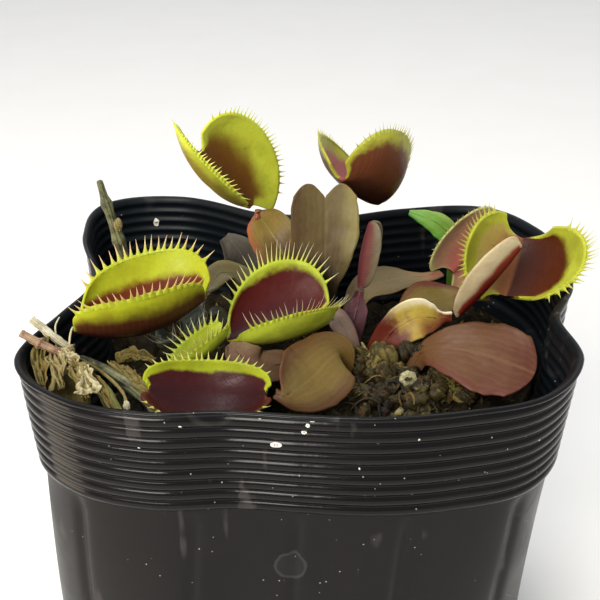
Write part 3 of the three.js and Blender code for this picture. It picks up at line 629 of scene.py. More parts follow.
def leaf_material(name, colours, start, fade):
    """Living leaf with a thin wax, which gives a soft satin sheen. The colour runs from
    base to tip, with two tinted edges, a midrib, and faint veins along the blade."""
    base, body, tip, left, right, rib = colours
    from_left, from_right = start if isinstance(start, tuple) else (start, start)
    material, add, place = start_material("waxy_blade_" + name)
    t, s = (add("Attribute", (), "Fac", attribute_name=label) for label in ("along", "across"))
    blotch, fine, pores = (
        add("TexNoise", {"Vector": place, "Scale": scale, "Detail": detail, "Roughness": 0.55})
        for scale, detail in ((260, 5), (1500, 3), (700, 4)))
    drift = add("Math", (blotch, 0.5, -0.25), operation="MULTIPLY_ADD")
    length = add("Math", (t, drift), operation="ADD")
    across = add("Math", (s, drift), operation="ADD")
    off_rib = add("Math", (s,), operation="ABSOLUTE")
    past_base = (t, fade[0], fade[1] + 0.1)
    warped = add("Math", (blotch, 0.4, s), operation="MULTIPLY_ADD")
    veins = add("Math", (add("Math", (warped, 34), operation="MULTIPLY"),), operation="SINE")
    colour = layers(
        add, base, (body, 1, (length, *fade)), (tip, 1, (length, 0.62, 0.98)),
        (left, 0.92, past_base, (across, -from_left, -0.95)),
        (right, 0.92, past_base, (across, from_right, 0.95)),
        (rib, 0.55, (off_rib, 0.09, 0.01)), ("#2a1a10", 0.11, (fine, 0.35, 0.75)),
        ("#d8c890", 0.016, (veins, 0, 1)))
    return finish_material(
        material, add, colour, (blotch, 0.3, 0.7, 0.4, 0.56),
        ((veins, 0.000004, 0.3), (pores, 0.00006, 0.5)),
        {"Subsurface Weight": 0.12, "Subsurface Scale": 0.0012, "Specular IOR Level": 0.24})


def trap_material(name, spec):
    """Trap lobe, fleshy and dull: a glandular inner face with dark dots, a bright margin
    with cloudy patches, and a duller outer face with faint streaks."""
    material, add, place = start_material("trap_flesh_" + name)
    edge, face, u, lobe = (add("Attribute", (), "Fac", attribute_name=label)
                           for label in ("edge", "inside", "along", "lobe"))
    blotch, cloud, fine, pores = (
        add("TexNoise", {"Vector": place, "Scale": scale, "Detail": detail, "Roughness": 0.55})
        for scale, detail in ((330, 5), (190, 4), (1400, 3), (900, 4)))
    drift = add("Math", (blotch, 0.22, -0.11), operation="MULTIPLY_ADD")
    reach = add("Math", (edge, drift), operation="ADD")
    margin = layers(add, spec["margin"], (spec["shade"], 0.45, (cloud, 0.42, 0.66)))
    # Where given, lobe b's margin is painted darker: painted shade.
    if "painted_shade_margin_b" in spec:
        margin = layers(add, margin, (spec["painted_shade_margin_b"], lobe))
    near, far = spec["inside"]
    inside = layers(add, near, (far, 1, (reach, 0.05, 0.75)))
    if "inside_b" in spec:
        near, far = spec["inside_b"]
        inside = layers(add, inside, (layers(add, near, (far, 1, (reach, 0.05, 0.75))), lobe))
    inside = layers(add, inside, (margin, 1, (reach, *spec["band"])))
    near, far = spec["outside"]
    outside = layers(add, near, (far, 1, (reach, 0.12, 0.5)), (margin, 1, (reach, *spec["skin"])))
    glands = add("TexVoronoi", {"Vector": place, "Scale": 3300})
    dots = steps_product(add, face, (glands, 0.35, 0.1), (edge, 0.75, 0.6))
    warped = add("Math", (blotch, 0.05, u), operation="MULTIPLY_ADD")
    streaks = add("Math", (add("Math", (warped, 140), operation="MULTIPLY"),), operation="SINE")
    colour = layers(
        add, outside, (inside, face),
        ("#2a0608", add("Math", (dots, 0.175), operation="MULTIPLY")),
        ("#f0e8a0", add("Math", (face, -0.01, 0.01), operation="MULTIPLY_ADD"), (streaks, 0, 1)),
        ("#3a2a10", 0.132, (fine, 0.45, 0.8)))
    return finish_material(
        material, add, colour, (blotch, 0.3, 0.7, 0.36, 0.52),
        ((pores, 0.00008, 0.5), (dots, 0.00006, 0.6)),
        {"Subsurface Weight": 0.15, "Subsurface Scale": 0.0012, "Specular IOR Level": 0.17})


def tooth_material(name, root, tip):
    """Tough cuticle of teeth and hairs: smooth, a little translucent, with the margin's
    colour at the root and another towards the point."""
    material, add, place = start_material("tough_cuticle_" + name)
    s = add("Attribute", (), "Fac", attribute_name="along")
    flecks, grain = (
        add("TexNoise", {"Vector": place, "Scale": scale, "Detail": 4, "Roughness": 0.55})
        for scale in (1200, 2500))
    colour = layers(add, root, (tip, 1, (s, 0.15, 0.85)), ("#8a7040", 0.25, (flecks, 0.4, 0.8)))
    return finish_material(material, add, colour, 0.4, ((grain, 0.00004, 0.5),),
                           {"Subsurface Weight": 0.2, "Subsurface Scale": 0.0008})


def stem_material(name, colours):
    """Weathered stem: matt fibres along it, pale patches and dark pits."""
    dark, pale = colours
    material, add, place = start_material("dry_stem_" + name)
    turn = add("Attribute", (), "Fac", attribute_name="around")
    fibres = add("Math", (add("Math", (turn, 60), operation="MULTIPLY"),), operation="SINE")
    patch, pits, grain = (
        add("TexNoise", {"Vector": place, "Scale": scale, "Detail": detail, "Roughness": coarse})
        for scale, detail, coarse in ((420, 6, 0.65), (1500, 3, 0.55), (1300, 6, 0.55)))
    colour = layers(add, dark, (pale, 1, (patch, 0.38, 0.62)), ("#3a3020", 0.3, (fibres, 0.2, 1)),
                    ("#2a2418", 0.6, (pits, 0.6, 0.75)))
    return finish_material(material, add, colour, (patch, 0.3, 0.7, 0.55, 0.85),
                           ((fibres, 0.0001, 0.6), (grain, 0.0002, 0.8)))


def pot_material():
    """Black polyethylene film, vacuum-formed: smooth and glossy on the collar, scuffed
    below it, with specks of dirt, rubbed streaks, dust, and rings of dried water. The
    inner face is tinted dark navy: a painted reflection of bluish light."""
    material, add, place = start_material("black_polyethylene")
    inside = add("Attribute", (), "Fac", attribute_name="inside")
    haze, rare, patches, damp, dents, wobble = (
        add("TexNoise", {"Vector": place, "Scale": scale, "Detail": detail, "Roughness": 0.55})
        for scale, detail in ((45, 4), (140, 2), (90, 2), (60, 3), (160, 3), (420, 3)))
    dust = add("TexNoise", {"Vector": place, "Scale": 900, "Detail": 6, "Roughness": 0.7})
    rubbed, scratches = (
        add("TexNoise", {"Vector": add("Mapping", {"Vector": place, "Scale": (1, 1, upright)}),
                         "Scale": scale, "Detail": 2, "Roughness": coarse})
        for scale, coarse, upright in ((260, 0.4, 0.16), (700, 0.5, 0.06)))
    dirt, drops = (add("TexVoronoi", {"Vector": place, "Scale": scale}) for scale in (620, 70))
    rings = steps_product(add, 1, (drops, 0.2, 0.24), (drops, 0.3, 0.26), (damp, 0.5, 0.6))
    mark = add("VectorMath", (place, [c * MM for c in WATER_MARK]), "Value", operation="DISTANCE")
    mark = add("Math", (wobble, 0.0013, mark), operation="MULTIPLY_ADD")
    outside = layers(add, "#080506", ("#0f0b0c", 1, (haze, 0.35, 0.7)))
    colour = layers(
        # Inner face tinted dark navy: a painted reflection of bluish light on the black plastic.
        add, outside, ("#090f14", inside),
        ("#b9b2a8", 0.6, (dirt, 0.09, 0.05), (rare, 0.52, 0.6)),
        ("#6a6462", 0.2, (rubbed, 0.62, 0.68), (patches, 0.5, 0.62)),
        ("#5a5452", 0.14, (dust, 0.6, 0.85)),
        ("#5c5654", add("Math", (rings, 0.14), operation="MULTIPLY")),
        ("#5c6066", 0.035, (mark, 0.0032, 0.0028)),
        ("#6c6a68", 0.13, (mark, 0.0026, 0.003), (mark, 0.0034, 0.0031)))
    height = add("SeparateXYZ", (place,), "Z")
    dull = add("Math", (rings, 0.15, haze), operation="MULTIPLY_ADD")
    rough_film = add("MapRange", (dull, 0.3, 0.75, 0.2, 0.36), interpolation_type="SMOOTHSTEP")
    scuffs = add("MapRange", (height, 0.06, 0.0615, 1.35, 0.6), interpolation_type="SMOOTHSTEP")
    rough_inside = steps_product(add, 0.3, (inside, 0, 1))
    roughness = add("Math", (rough_film, scuffs, rough_inside), operation="MULTIPLY_ADD")
    return finish_material(material, add, colour, roughness,
                           ((scratches, 0.00004, 0.3), (dents, 0.0003, 0.2)),
                           {"Specular IOR Level": 0.19})


def speck_material():
    """Dried spots of pale dirt on the pot, chalky and matt; one pale streak inside is a painted
    highlight.
    """
    material, add, place = start_material("dried_dirt_and_painted_highlight")
    patch, grain = (
        add("TexNoise", {"Vector": place, "Scale": scale, "Detail": 4, "Roughness": 0.55})
        for scale in (2500, 3000))
    colour = layers(add, "#c8c2b8", ("#eeeae2", 1, (patch, 0.35, 0.65)))
    return finish_material(material, add, colour, 0.8, ((grain, 0.00005, 0.6),))


def mix_material():
    """Damp peat and dead moss: dark matt crumbs with olive and tan fibres."""
    material, add, place = start_material("damp_peat")
    coarse, fine = (
        add("TexNoise", {"Vector": place, "Scale": scale, "Detail": 6, "Roughness": rough_share})
        for scale, rough_share in ((260, 0.65), (1400, 0.7)))
    fibres = add("TexVoronoi", {"Vector": place, "Scale": 900})
    colour = layers(add, "#110d08", ("#2a2212", 1, (coarse, 0.35, 0.65)),
                    ("#4e4a2c", 0.5, (fine, 0.5, 0.7)), ("#7a6e50", 0.5, (fibres, 0.1, 0.05)))
    return finish_material(material, add, colour, (fine, 0.3, 0.7, 0.65, 0.95),
                           ((coarse, 0.0012, 0.8), (fine, 0.0005, 0.9)),
                           {"Specular IOR Level": 0.12})


def litter_material(name):
    """Wet dead moss and withered leaf: peat, olive, straw or cream by the shade of each
    piece, which lumps and scraps darken in their folds as painted shade, with rusty
    patches and a slight wet glint."""
    material, add, place = start_material(name)
    patch, fine, rust = (
        add("TexNoise", {"Vector": place, "Scale": scale, "Detail": detail, "Roughness": coarse})
        for scale, detail, coarse in ((500, 5, 0.6), (1700, 4, 0.6), (380, 3, 0.55)))
    # Each piece's shade, darkened in the folds of lumps and scraps as painted shade.
    own = add("Attribute", (), "Fac", attribute_name="own")
    drift = add("Math", (patch, 0.35, -0.175), operation="MULTIPLY_ADD")
    own = add("Math", (own, drift), operation="ADD")
    colour = layers(add, "#17110a", ("#3e3416", 1, (own, 0, 0.32)), ("#6c5f2e", 1, (own, 0.3, 0.5)),
                    ("#8c7f54", 1, (own, 0.5, 0.7)), ("#cdc4a2", 1, (own, 0.72, 0.95)),
                    ("#1c140a", 0.3, (fine, 0.5, 0.75)), ("#6e3c1c", 0.35, (rust, 0.6, 0.7)))
    return finish_material(
        material, add, colour, (patch, 0.35, 0.65, 0.45, 0.8),
        ((patch, 0.0004, 0.6), (fine, 0.00025, 0.8)),
        {"Subsurface Weight": 0.1, "Subsurface Scale": 0.0008, "Specular IOR Level": 0.26})


def table_material():
    """Pale matt table top with a very slight cloudiness."""
    material, add, place = start_material("matt_table")
    grain = add("TexNoise", {"Vector": place, "Scale": 30, "Detail": 4, "Roughness": 0.55})
    return finish_material(material, add, layers(add, "#f8f7f4", ("#f3f1ec", grain)), 0.7)


# ------------------------------------------------------------------------- pot


def rim_radius(angle):
    """Rim radius at angles: smooth through the listed radii, all the way round."""
    v = np.asarray(RIM_RADII, float)
    n = len(v)
    s = (angle / (2 * PI)) % 1 * n
    i = np.floor(s).astype(int)
    f = s - i
    return curve(v[(i - 1) % n], v[i % n], v[(i + 1) % n], v[(i + 2) % n], f)


def wall_radius(angle, z):
    """Outer wall: the collar tapers straight; the body goes from base to collar by the
    height to the power 0.8."""
    rim = rim_radius(angle)
    low = rim * COLLAR_TAPER
    collar = low + (rim - low) * (z - COLLAR_Z) / (RIM_Z - COLLAR_Z)
    base = BASE_SCALE * (BASE_R + (rim - BASE_R) * BASE_SQUARE)
    rise = np.power(np.clip(z, 0, COLLAR_Z) / COLLAR_Z, 0.8)
    return np.where(z >= COLLAR_Z, collar, base + (low - 1 - base) * rise)


def wall_points(z, shift, angles, flute):
    """Ring grid of the wall at rows of heights, with ribs in the collar and, if flute
    is set, narrow bell-shaped flutes in the body. A rib's section is a parabola, so
    that its crest is rounded and the grooves are sharp."""
    zz, aa = np.meshgrid(z, angles, indexing="ij")
    pitch = (RIM_Z - 1 - COLLAR_Z) / RIBS
    phase = (zz - COLLAR_Z) / pitch
    inside = (zz > COLLAR_Z) & (zz < RIM_Z - 0.9)
    rib = -RIB_DEPTH * (2 * (phase % 1) - 1) ** 2 * inside
    r = wall_radius(aa, zz) + rib + shift[:, None]
    if flute:
        step = 2 * PI / FLUTES
        off = (aa + step / 2) % step - step / 2
        fade = smooth((zz - 2) / 4) * smooth((COLLAR_Z - 0.9 - zz) / 2)
        r = r - FLUTE_DEPTH * fade * np.exp(-(off / FLUTE_WIDTH) ** 2)
    r = r + WAVE * np.sin(5 * aa + 0.12 * zz) * smooth((zz - 10) / 30)
    sag = BODY_SAG * np.sin(PI * np.clip(zz / COLLAR_Z, 0, 1))
    return np.stack([r * np.cos(aa) + sag, r * np.sin(aa), zz], -1)


def build_pot():
    """One closed wall: outside up, over the rolled lip, inside down, floor. The points
    round it lie closer together near each flute, by a cube law."""
    part = (np.arange(FLUTE_STEPS) - (FLUTE_STEPS - 1) / 2) / FLUTE_STEPS
    part = 0.35 * part + 2.6 * part ** 3
    angles = ((np.arange(FLUTES)[:, None] + part).ravel() % FLUTES) * 2 * PI / FLUTES
    angles = np.sort(angles)
    up = np.concatenate([[0, 0.3, 1.2], np.linspace(2, COLLAR_Z - 1, 30),
                         np.linspace(COLLAR_Z - 0.5, RIM_Z - 1, RIBS * 12),
                         [RIM_Z - 0.6, RIM_Z - 0.2, RIM_Z]])
    shift = np.interp(up, [0, 0.3, 1.2, RIM_Z - 0.9, RIM_Z - 0.5, RIM_Z - 0.2, RIM_Z],
                      [-0.8, -0.35, 0, 0, 0.3, 0.35, 0.1])
    outer = wall_points(up, shift, angles, True)
    down = np.concatenate([[RIM_Z, RIM_Z - 0.3], np.linspace(RIM_Z - 1, COLLAR_Z - 0.5, RIBS * 6),
                           np.linspace(COLLAR_Z - 3, FLOOR, 12)])
    inset = np.interp(down, [FLOOR, COLLAR_Z - 3, COLLAR_Z - 0.5, RIM_Z - 1, RIM_Z],
                      [-WALL - FLUTE_DEPTH, -WALL - FLUTE_DEPTH, -WALL, -WALL, -0.55])
    inner = wall_points(down, inset, angles, False)
    grid = np.concatenate([outer, inner])
    rows, cols = grid.shape[:2]
    points = grid.reshape(-1, 3)
    quads = grid_quads(rows, cols, around=True)[:, ::-1]
    ends = []
    for row, z, back in ((0, 0, True), (rows - 1, FLOOR, False)):
        ring = np.arange(row * cols, (row + 1) * cols)
        centre = len(points)
        points = np.concatenate([points, [[points[ring, 0].mean(), points[ring, 1].mean(), z]]])
        ends.append(fan(centre, ring, back))
    inside = np.concatenate([np.zeros(outer.shape[0] * cols), np.ones(inner.shape[0] * cols), [0, 1]])
    obj = add_mesh("pot", points, quads, pot_material(), {"inside": inside}, np.concatenate(ends))
    attach(obj, "pot")


# --------------------------------------------------------------- mix and moss


def join(name, parts, material, node_name, labels):
    """One mesh of many parts, each (points, quads, triangles, attributes)."""
    points, quads, tris, start = [], [], [], 0
    values = {label: [] for label in labels}
    for p, q, t, attributes in parts:
        points.append(p)
        quads.append(q + start)
        tris.append(np.asarray(t, int).reshape(-1, 3) + start)
        for label in labels:
            values[label].append(np.broadcast_to(attributes[label], len(p)))
        start += len(p)
    obj = add_mesh(name, np.concatenate(points), np.concatenate(quads), material,
                   {k: np.concatenate(v) for k, v in values.items()}, np.concatenate(tris))
    attach(obj, node_name)


def build_mix():
    """Block of growing mix: side wall and a finely crumbled top. The crumbs are
    lattices of random heights, and a ridged one (1 minus its size) near the moss."""
    angles = np.linspace(0, 2 * PI, 300, endpoint=False)
    clear = np.array([-WALL - FLUTE_DEPTH - 0.5])
    top_z = COLLAR_Z - 3.4
    stack = [wall_points(np.array([z]), clear, angles, False)[0]
             for z in (FLOOR + 0.3, 16, 30, 45, top_z)]
    top = stack[-1][:, :2]
    for scale in np.linspace(1, 0.004, 150):
        x, y = (top * scale * 0.995).T
        edge = smooth((1 - scale) / 0.12)
        crumbs = 0.75 * rough(x / 2.6, y / 2.6, 3) + 0.3 * rough(x * 1.7, y * 1.7, 9, 2)
        ridges = 1 - 2 * np.abs(rough(x / 3.1, y / 3.1, 31, 2))
        crumbs = crumbs + 0.7 * mound(x, y, CRUMB_MOUND) * ridges
        rise = (soil_height(x, y) - MIX_EDGE_Z) * (0.15 + 0.85 * edge)
        stack.append(np.stack([x, y, MIX_EDGE_Z + rise + crumbs * edge], -1))
    grid = np.array(stack)
    rows, cols = grid.shape[:2]
    points = np.concatenate([grid.reshape(-1, 3), [grid[0].mean(0)], [grid[-1].mean(0)]])
    quads = grid_quads(rows, cols, around=True)[:, ::-1]
    obj = add_mesh("growing_mix", points, quads, mix_material(), {}, end_caps(rows, cols, True))
    attach(obj, "growing_mix")


def leaflets(base, heading, up, length, width, curl, own):
    """Many small pointed leaflets as one grid each: 5 rows by 3 across. The centre
    runs out along heading and bends towards up by curl times the distance squared;
    the width swells as the sine of the distance and is cupped across."""
    s = np.linspace(0, 1, 5)
    c = np.array([-1.0, 0, 1.0])
    side = unit(np.cross(heading, up))
    up = unit(np.cross(side, heading))
    run = (s * length[:, None])[:, :, None, None]
    bend = (curl[:, None] * length[:, None] * s ** 2)[:, :, None, None]
    swell = (np.sin(PI * (0.12 + 0.88 * s)) * width[:, None] / 2)[:, :, None, None]
    cup = swell * 0.35 * (c ** 2)[None, None, :, None]
    grid = (base[:, None, None] + heading[:, None, None] * run + up[:, None, None] * (bend + cup)
            + side[:, None, None] * swell * c[None, None, :, None])
    quads = repeat_quads(grid_quads(5, 3), len(base), 15)
    return grid.reshape(-1, 3), quads, [], {"own": np.repeat(own, 15)}


def tube(line, radius, own, sides=6, rows=16):
    """Round strand along a smooth line, with uneven thickness: the radius swells as a
    power of the sine of the length, and is about 0.6 of its full size at the ends."""
    t = np.linspace(0, 1, rows)
    size = radius * (0.35 + 0.65 * np.sin(PI * (0.08 + 0.86 * t)) ** 0.6)
    grid = rings(line, t, (size * rng.uniform(0.8, 1.2, rows))[:, None], sides)[0]
    points = np.concatenate([grid.reshape(-1, 3), along(line, t[[0, -1]])])
    return points, grid_quads(rows, sides, around=True), end_caps(rows, sides), {"own": own}


def lump(centre, size, tilt, fold, own, seed, rows=34, cols=56):
    """Crumpled scrap: an ellipsoid drawn in along random valleys, one smooth set of
    large ones and one of fine wrinkles. The valleys are painted darker, as painted
    shade, apart from those of the palest scraps."""
    v, a = np.linspace(0, PI, rows + 2)[1:-1], np.linspace(0, 2 * PI, cols, endpoint=False)
    vv, aa = np.meshgrid(v, a, indexing="ij")
    x, y, z = np.sin(vv) * np.cos(aa), np.sin(vv) * np.sin(aa), np.cos(vv)
    big = np.abs(lattice(x * 1.9 + z + 9, y * 1.9 - z + 9, seed)) ** 0.6
    small = np.abs(lattice(x * 4.2 + 2 * z + 30, y * 4.2 + 30 - z, seed + 1)) ** 0.7
    r = 1 - fold * (1 - big) - 0.4 * fold * (1 - small)
    c, s = math.cos(tilt), math.sin(tilt)
    px, py, pz = x * r * size[0], y * r * size[1], z * r * size[2]
    grid = np.stack([px * c - py * s, px * s + py * c, pz], -1).reshape(-1, 3)
    poles = [[0, 0, size[2] * 0.8], [0, 0, -size[2] * 0.8]]
    points = np.concatenate([grid, poles]) + np.array(centre)
    # Darker in the valleys: painted shade, left off the palest scraps.
    shade = own - 0.34 * (1 - np.concatenate([(big * small).ravel(), [1, 1]])) * (own < 0.97)
    return points, grid_quads(rows, cols, around=True), end_caps(rows, cols), {"own": shade}


def scrap(line, widths, fold, own, seed, rows=48, cols=20):
    """Torn wrinkled sheet: across a smooth line, curled up at the sides, with ragged
    edges and ridges where a lattice of random values crosses zero. It is painted
    darker away from the ridges, as painted shade in the folds."""
    t, s = np.linspace(0, 1, rows), np.linspace(-1, 1, cols)
    tt, ss = np.meshgrid(t, s, indexing="ij")
    line = np.array(line, float)
    ahead = tangent(line, t)
    side = unit(np.cross(ahead, [0.1, -0.5, 1.0]))
    up = np.cross(side, ahead)
    half = along(widths, t)[:, None] / 2 * (1 + 0.35 * lattice(tt * 9, np.sign(ss) * 2 + 5, seed))
    ridge = 1 - 2 * np.abs(lattice(tt * 6 + ss, ss * 2.4 + 9, seed + 1))
    rise = fold * (ridge + 0.4 * lattice(tt * 15, ss * 6 + 20, seed + 2)) + 0.3 * half * ss * ss
    points, quads, _ = shell(sheet(line, t, side, up, ss * half, rise), np.full(tt.shape, 0.09))
    # Darker between the ridges: painted shade in the folds.
    shade = own - 0.16 * (1 - np.clip(ridge, 0, 1))
    return points, quads, [], {"own": np.tile(shade.ravel(), 2)}


def cushion_scraps():
    """Small crumpled lumps and torn sheets, heaped at random over the moss cushion."""
    parts = []
    for i in range(CUSHION_SCRAPS):
        x, y = 16 + rng.normal(0, 7.5), -13 + rng.normal(0, 5.5)
        if math.hypot(x, y) > LOOSE_REACH or y > -4:
            continue
        z, own = soil_height(x, y), 0.12 + 0.46 * rng.uniform(0, 1)
        if i % 3:
            size = rng.uniform(1.2, 2.6, 3) * (1, 0.8, 0.8)
            parts.append(lump((x, y, z + 0.6), size, rng.uniform(0, PI), 0.36, own, 300 + i, 18, 28))
            continue
        turn, span = rng.uniform(0, 2 * PI), rng.uniform(2.2, 5)
        s = np.linspace(-0.5, 0.5, 4)
        line = np.stack([x + span * s * math.cos(turn), y + span * s * math.sin(turn),
                         z + 1.2 - 4 * s * s * rng.uniform(0.6, 1.6)], -1)
        widths = rng.uniform(1.2, 2.6) * np.array([0.4, 1, 0.9, 0.3])
        parts.append(scrap(line, widths, 0.4, own + 0.1, 400 + i, 28, 12))
    return parts


def build_litter():
    """Crumpled scraps and strands, one mesh for each CAD node that they belong to."""
    material = litter_material("withered_litter")
    for owner in ("growing_mix", "dry_moss", "pale_stem", "mossy_stem", "green_stem", "old_trap",
                  "dead_flower_stalk"):
        parts = [lump(*spec[:5], seed=70 + 3 * i) for i, spec in enumerate(LUMPS) if spec[5] == owner]
        parts += [tube(np.array(line, float), radius, own, 8, 40)
                  for line, radius, own, who in STRANDS if who == owner]
        parts += [scrap(*spec[:4], seed=170 + 5 * i) for i, spec in enumerate(SCRAPS) if spec[4] == owner]
        if owner == "growing_mix":
            parts += cushion_scraps()
        join("litter_" + owner, parts, material, owner, ["own"])


def build_moss():
    """Small dark leaflets in patches, and thin strands that arch out of the cushion."""
    n = LEAFLETS
    x, y = rng.uniform(-38, 40, n), rng.uniform(-38, 36, n)
    patch = np.clip(rough(x / 6, y / 6, 21) * 0.5 + 0.5, 0, 1)
    inside = np.hypot(x, y) < wall_radius(np.arctan2(y, x), np.full_like(x, 62)) - 3.2
    keep = inside & (rng.uniform(0, 1, n) < 0.12 + 0.75 * mound(x, y, LEAFLET_MOUND) * patch)
    x, y = x[keep], y[keep]
    n = len(x)
    z = soil_height(x, y) - 0.1 + 0.5 * rough(x / 2.6, y / 2.6, 3)
    turn, lift = rng.uniform(0, 2 * PI, n), rng.uniform(0.1, 1.1, n)
    heading = np.stack([np.cos(turn) * np.cos(lift), np.sin(turn) * np.cos(lift), np.sin(lift)], -1)
    parts = [leaflets(np.stack([x, y, z], -1), heading, np.tile([0, 0, 1.0], (n, 1)),
                      rng.uniform(0.6, 1.6, n), rng.uniform(0.25, 0.55, n),
                      rng.uniform(-0.9, 0.9, n), 0.45 * rng.uniform(0, 1, n) ** 1.4)]
    for _ in range(THIN_STRANDS):
        cx, cy = rng.normal(15, 9), rng.normal(-12, 7)
        if np.hypot(cx, cy) > LOOSE_REACH:
            continue
        turn, span, rise = rng.uniform(0, 2 * PI), rng.uniform(2, 6.5), rng.uniform(0.5, 2.2)
        s = np.linspace(0, 1, 6)
        wave = turn + rng.uniform(-1.6, 1.6) * s
        line = np.stack([cx + span * s * np.cos(wave), cy + span * s * np.sin(wave),
                         soil_height(cx, cy) + 0.3 + rise * np.sin(PI * s)], -1)
        parts.append(tube(line, rng.uniform(0.1, 0.3), 0.5 * rng.uniform(0, 1) ** 1.3))
    join("moss_strands", parts, litter_material("wet_moss"), "growing_mix", ["own"])


def build_specks():
    """Flat dried drops on the wall, and on the inner wall one pale streak that is a
    painted highlight, each a shallow dome of three uneven rings. Widths along the wall
    turn to angles by the collar's radius."""
    parts, sides = [], 14
    for angle, z, wide, high, face in SPECKS:
        a, t = math.radians(angle), np.linspace(0, 2 * PI, sides, endpoint=False)
        skin = 0.03 if face > 0 else WALL + 0.03
        dome = []
        for share, lift in ((1, 0.0), (0.7, 0.05), (0.35, 0.07)):
            uneven = 1 + 0.18 * lattice(3 * np.cos(t) + 9, 3 * np.sin(t) + z, 5)
            aa = a + share * wide * np.cos(t) * uneven / COLLAR_R
            zz = z + share * high * np.sin(t) * uneven
            shift = np.array([face * (lift + skin)])
            dome.append(np.array([wall_points(np.array([h]), shift, np.array([g]), face > 0)[0, 0]
                                  for h, g in zip(zz, aa)]))
        points = np.concatenate([np.concatenate(dome), [dome[2].mean(0)]])
        cap = fan(3 * sides, np.arange(2 * sides, 3 * sides))
        parts.append((points, grid_quads(3, sides, around=True), cap, {"own": 1.0}))
    join("dirt_specks_and_painted_highlight", parts, speck_material(), "pot", ["own"])


# ---------------------------------------------------------------- blades, traps


def blade_line(spec):
    """The blade's points, with its foot set in the mix and its end at its trap."""
    line = [np.array(p, float) for p in spec["line"]]
    if not spec.get("loose"):
        line[0][2] = soil_height(line[0][0], line[0][1]) - FOOT_DEPTH
    if "carries" in spec:
        trap = TRAPS[spec["carries"]]
        neck = np.array(trap["neck"], float)
        axis = unit(np.array(trap["tip"], float) - neck)
        if spec.get("direct"):
            axis = unit(neck - line[-1])
        else:
            line.append(neck - NECK_LEAD * axis)
        line.append(neck - (NECK_GAP + spec.get("back", NECK_BACK)) * axis)
    return np.array(line)


def build_blade(name, spec):
    """Blade: across the line, its sides rise by fold times the offset to the power
    1.5, and its margins wave as a sine of the length; fine ripples follow, and a bell-
    shaped groove along the midrib, which is thicker than the sides."""
    line = blade_line(spec)
    rows, cols = 90, 31
    t, s = np.linspace(0, 1, rows), np.linspace(-1, 1, cols)
    axis = tangent(line, t)
    side = unit(np.cross(axis, np.array(spec["face"], float)))
    up = np.cross(side, axis)
    half = np.maximum(0.6, along(spec["widths"], t) / 2)[:, None]
    tt, ss = np.meshgrid(t, s, indexing="ij")
    waves, wave = spec.get("waves", 2), spec.get("wave", 0.3)
    rise = spec.get("fold", 0.15) * half * np.abs(ss) ** 1.5
    rise = rise + wave * ss ** 2 * np.sin(2 * PI * waves * tt + np.where(ss > 0, 0, 2))
    seed = seed_of(name)
    rise = rise + 0.1 * np.minimum(1, half / 3) * rough(tt * 9, ss * 2 + 9, seed, 3)
    rise = rise + spec.get("crumple", 0) * (1 - 2 * np.abs(lattice(tt * 6, ss * 2 + 9, seed)))
    rise = rise - 0.16 * np.exp(-(ss / 0.07) ** 2) * smooth((half - 0.6) / 2)
    heart = spec.get("heart", 0)
    swell = ss * ss if heart < 0 else np.sin(0.95 * PI * np.abs(ss))
    reach = heart * swell * smooth((tt - 0.55) / 0.45)
    nibble = 1 + 0.03 * lattice(tt * 22, np.sign(ss) * 3 + 5, seed)
    grid = sheet(line, t, side, up, ss * half * nibble, rise) + axis[:, None] * reach[..., None]
    thick = 0.34 - 0.2 * np.abs(ss) ** 3 + 0.25 * np.exp(-(ss / 0.12) ** 2) * (1 - tt * 0.5)
    points, quads, _ = shell(grid, thick)
    both = {"along": np.tile(tt.ravel(), 2), "across": np.tile(ss.ravel(), 2),
            "own": np.full(tt.size * 2, 0.55)}
    if "crumple" in spec:
        material = litter_material(name)
    else:
        fade = spec.get("fade", (0.05, 0.45))
        material = leaf_material(name, spec["colours"], spec["edge"], fade)
    attach(add_mesh(name, points, quads, material, both), name)


def trap_grid(spec, u, w, side):
    """Points of one lobe at shares u along the hinge and w from hinge to rim, the way
    out of its back, the hinge's direction, the way out of the mouth, and its depth. The
    lobe's outline is a half ellipse that stands on its ends, and its belly a parabola."""
    a, b = np.array(spec["neck"], float), np.array(spec["tip"], float)
    length = np.linalg.norm(b - a)
    axis = (b - a) / length
    middle = (a + b) / 2
    rims = [np.array(spec[k], float) for k in "ab"]
    mouth = unit(unit(rims[0] - middle) + unit(rims[1] - middle))
    bow = spec.get("bow", 0.1) * length * 0.5
    middle = middle - mouth * bow
    reach, other = rims[side] - middle, rims[1 - side] - middle
    out = unit(np.cross(reach, axis))
    out = -out if out @ other > 0 else out
    end, cup = spec.get("end", 0.2), spec.get("cup", 0.16)
    fan = spec["fan_b" if side else "fan_a"]
    slide = spec.get("slide_b" if side else "slide_a", 0)
    depth = np.linalg.norm(reach)
    outline = end + (1 - end) * np.sqrt(np.clip(arch(u), 0, 1))
    hinge = a + axis * (u * length)[..., None] - mouth * (bow * arch(u))[..., None]
    belly = cup * arch(w) * depth * outline
    shift = ((u - 0.5) * fan * w * w + slide * w) * length
    points = (hinge + reach * (w * outline)[..., None] + out * belly[..., None]
              + axis * shift[..., None])
    return points, out, axis, mouth, depth


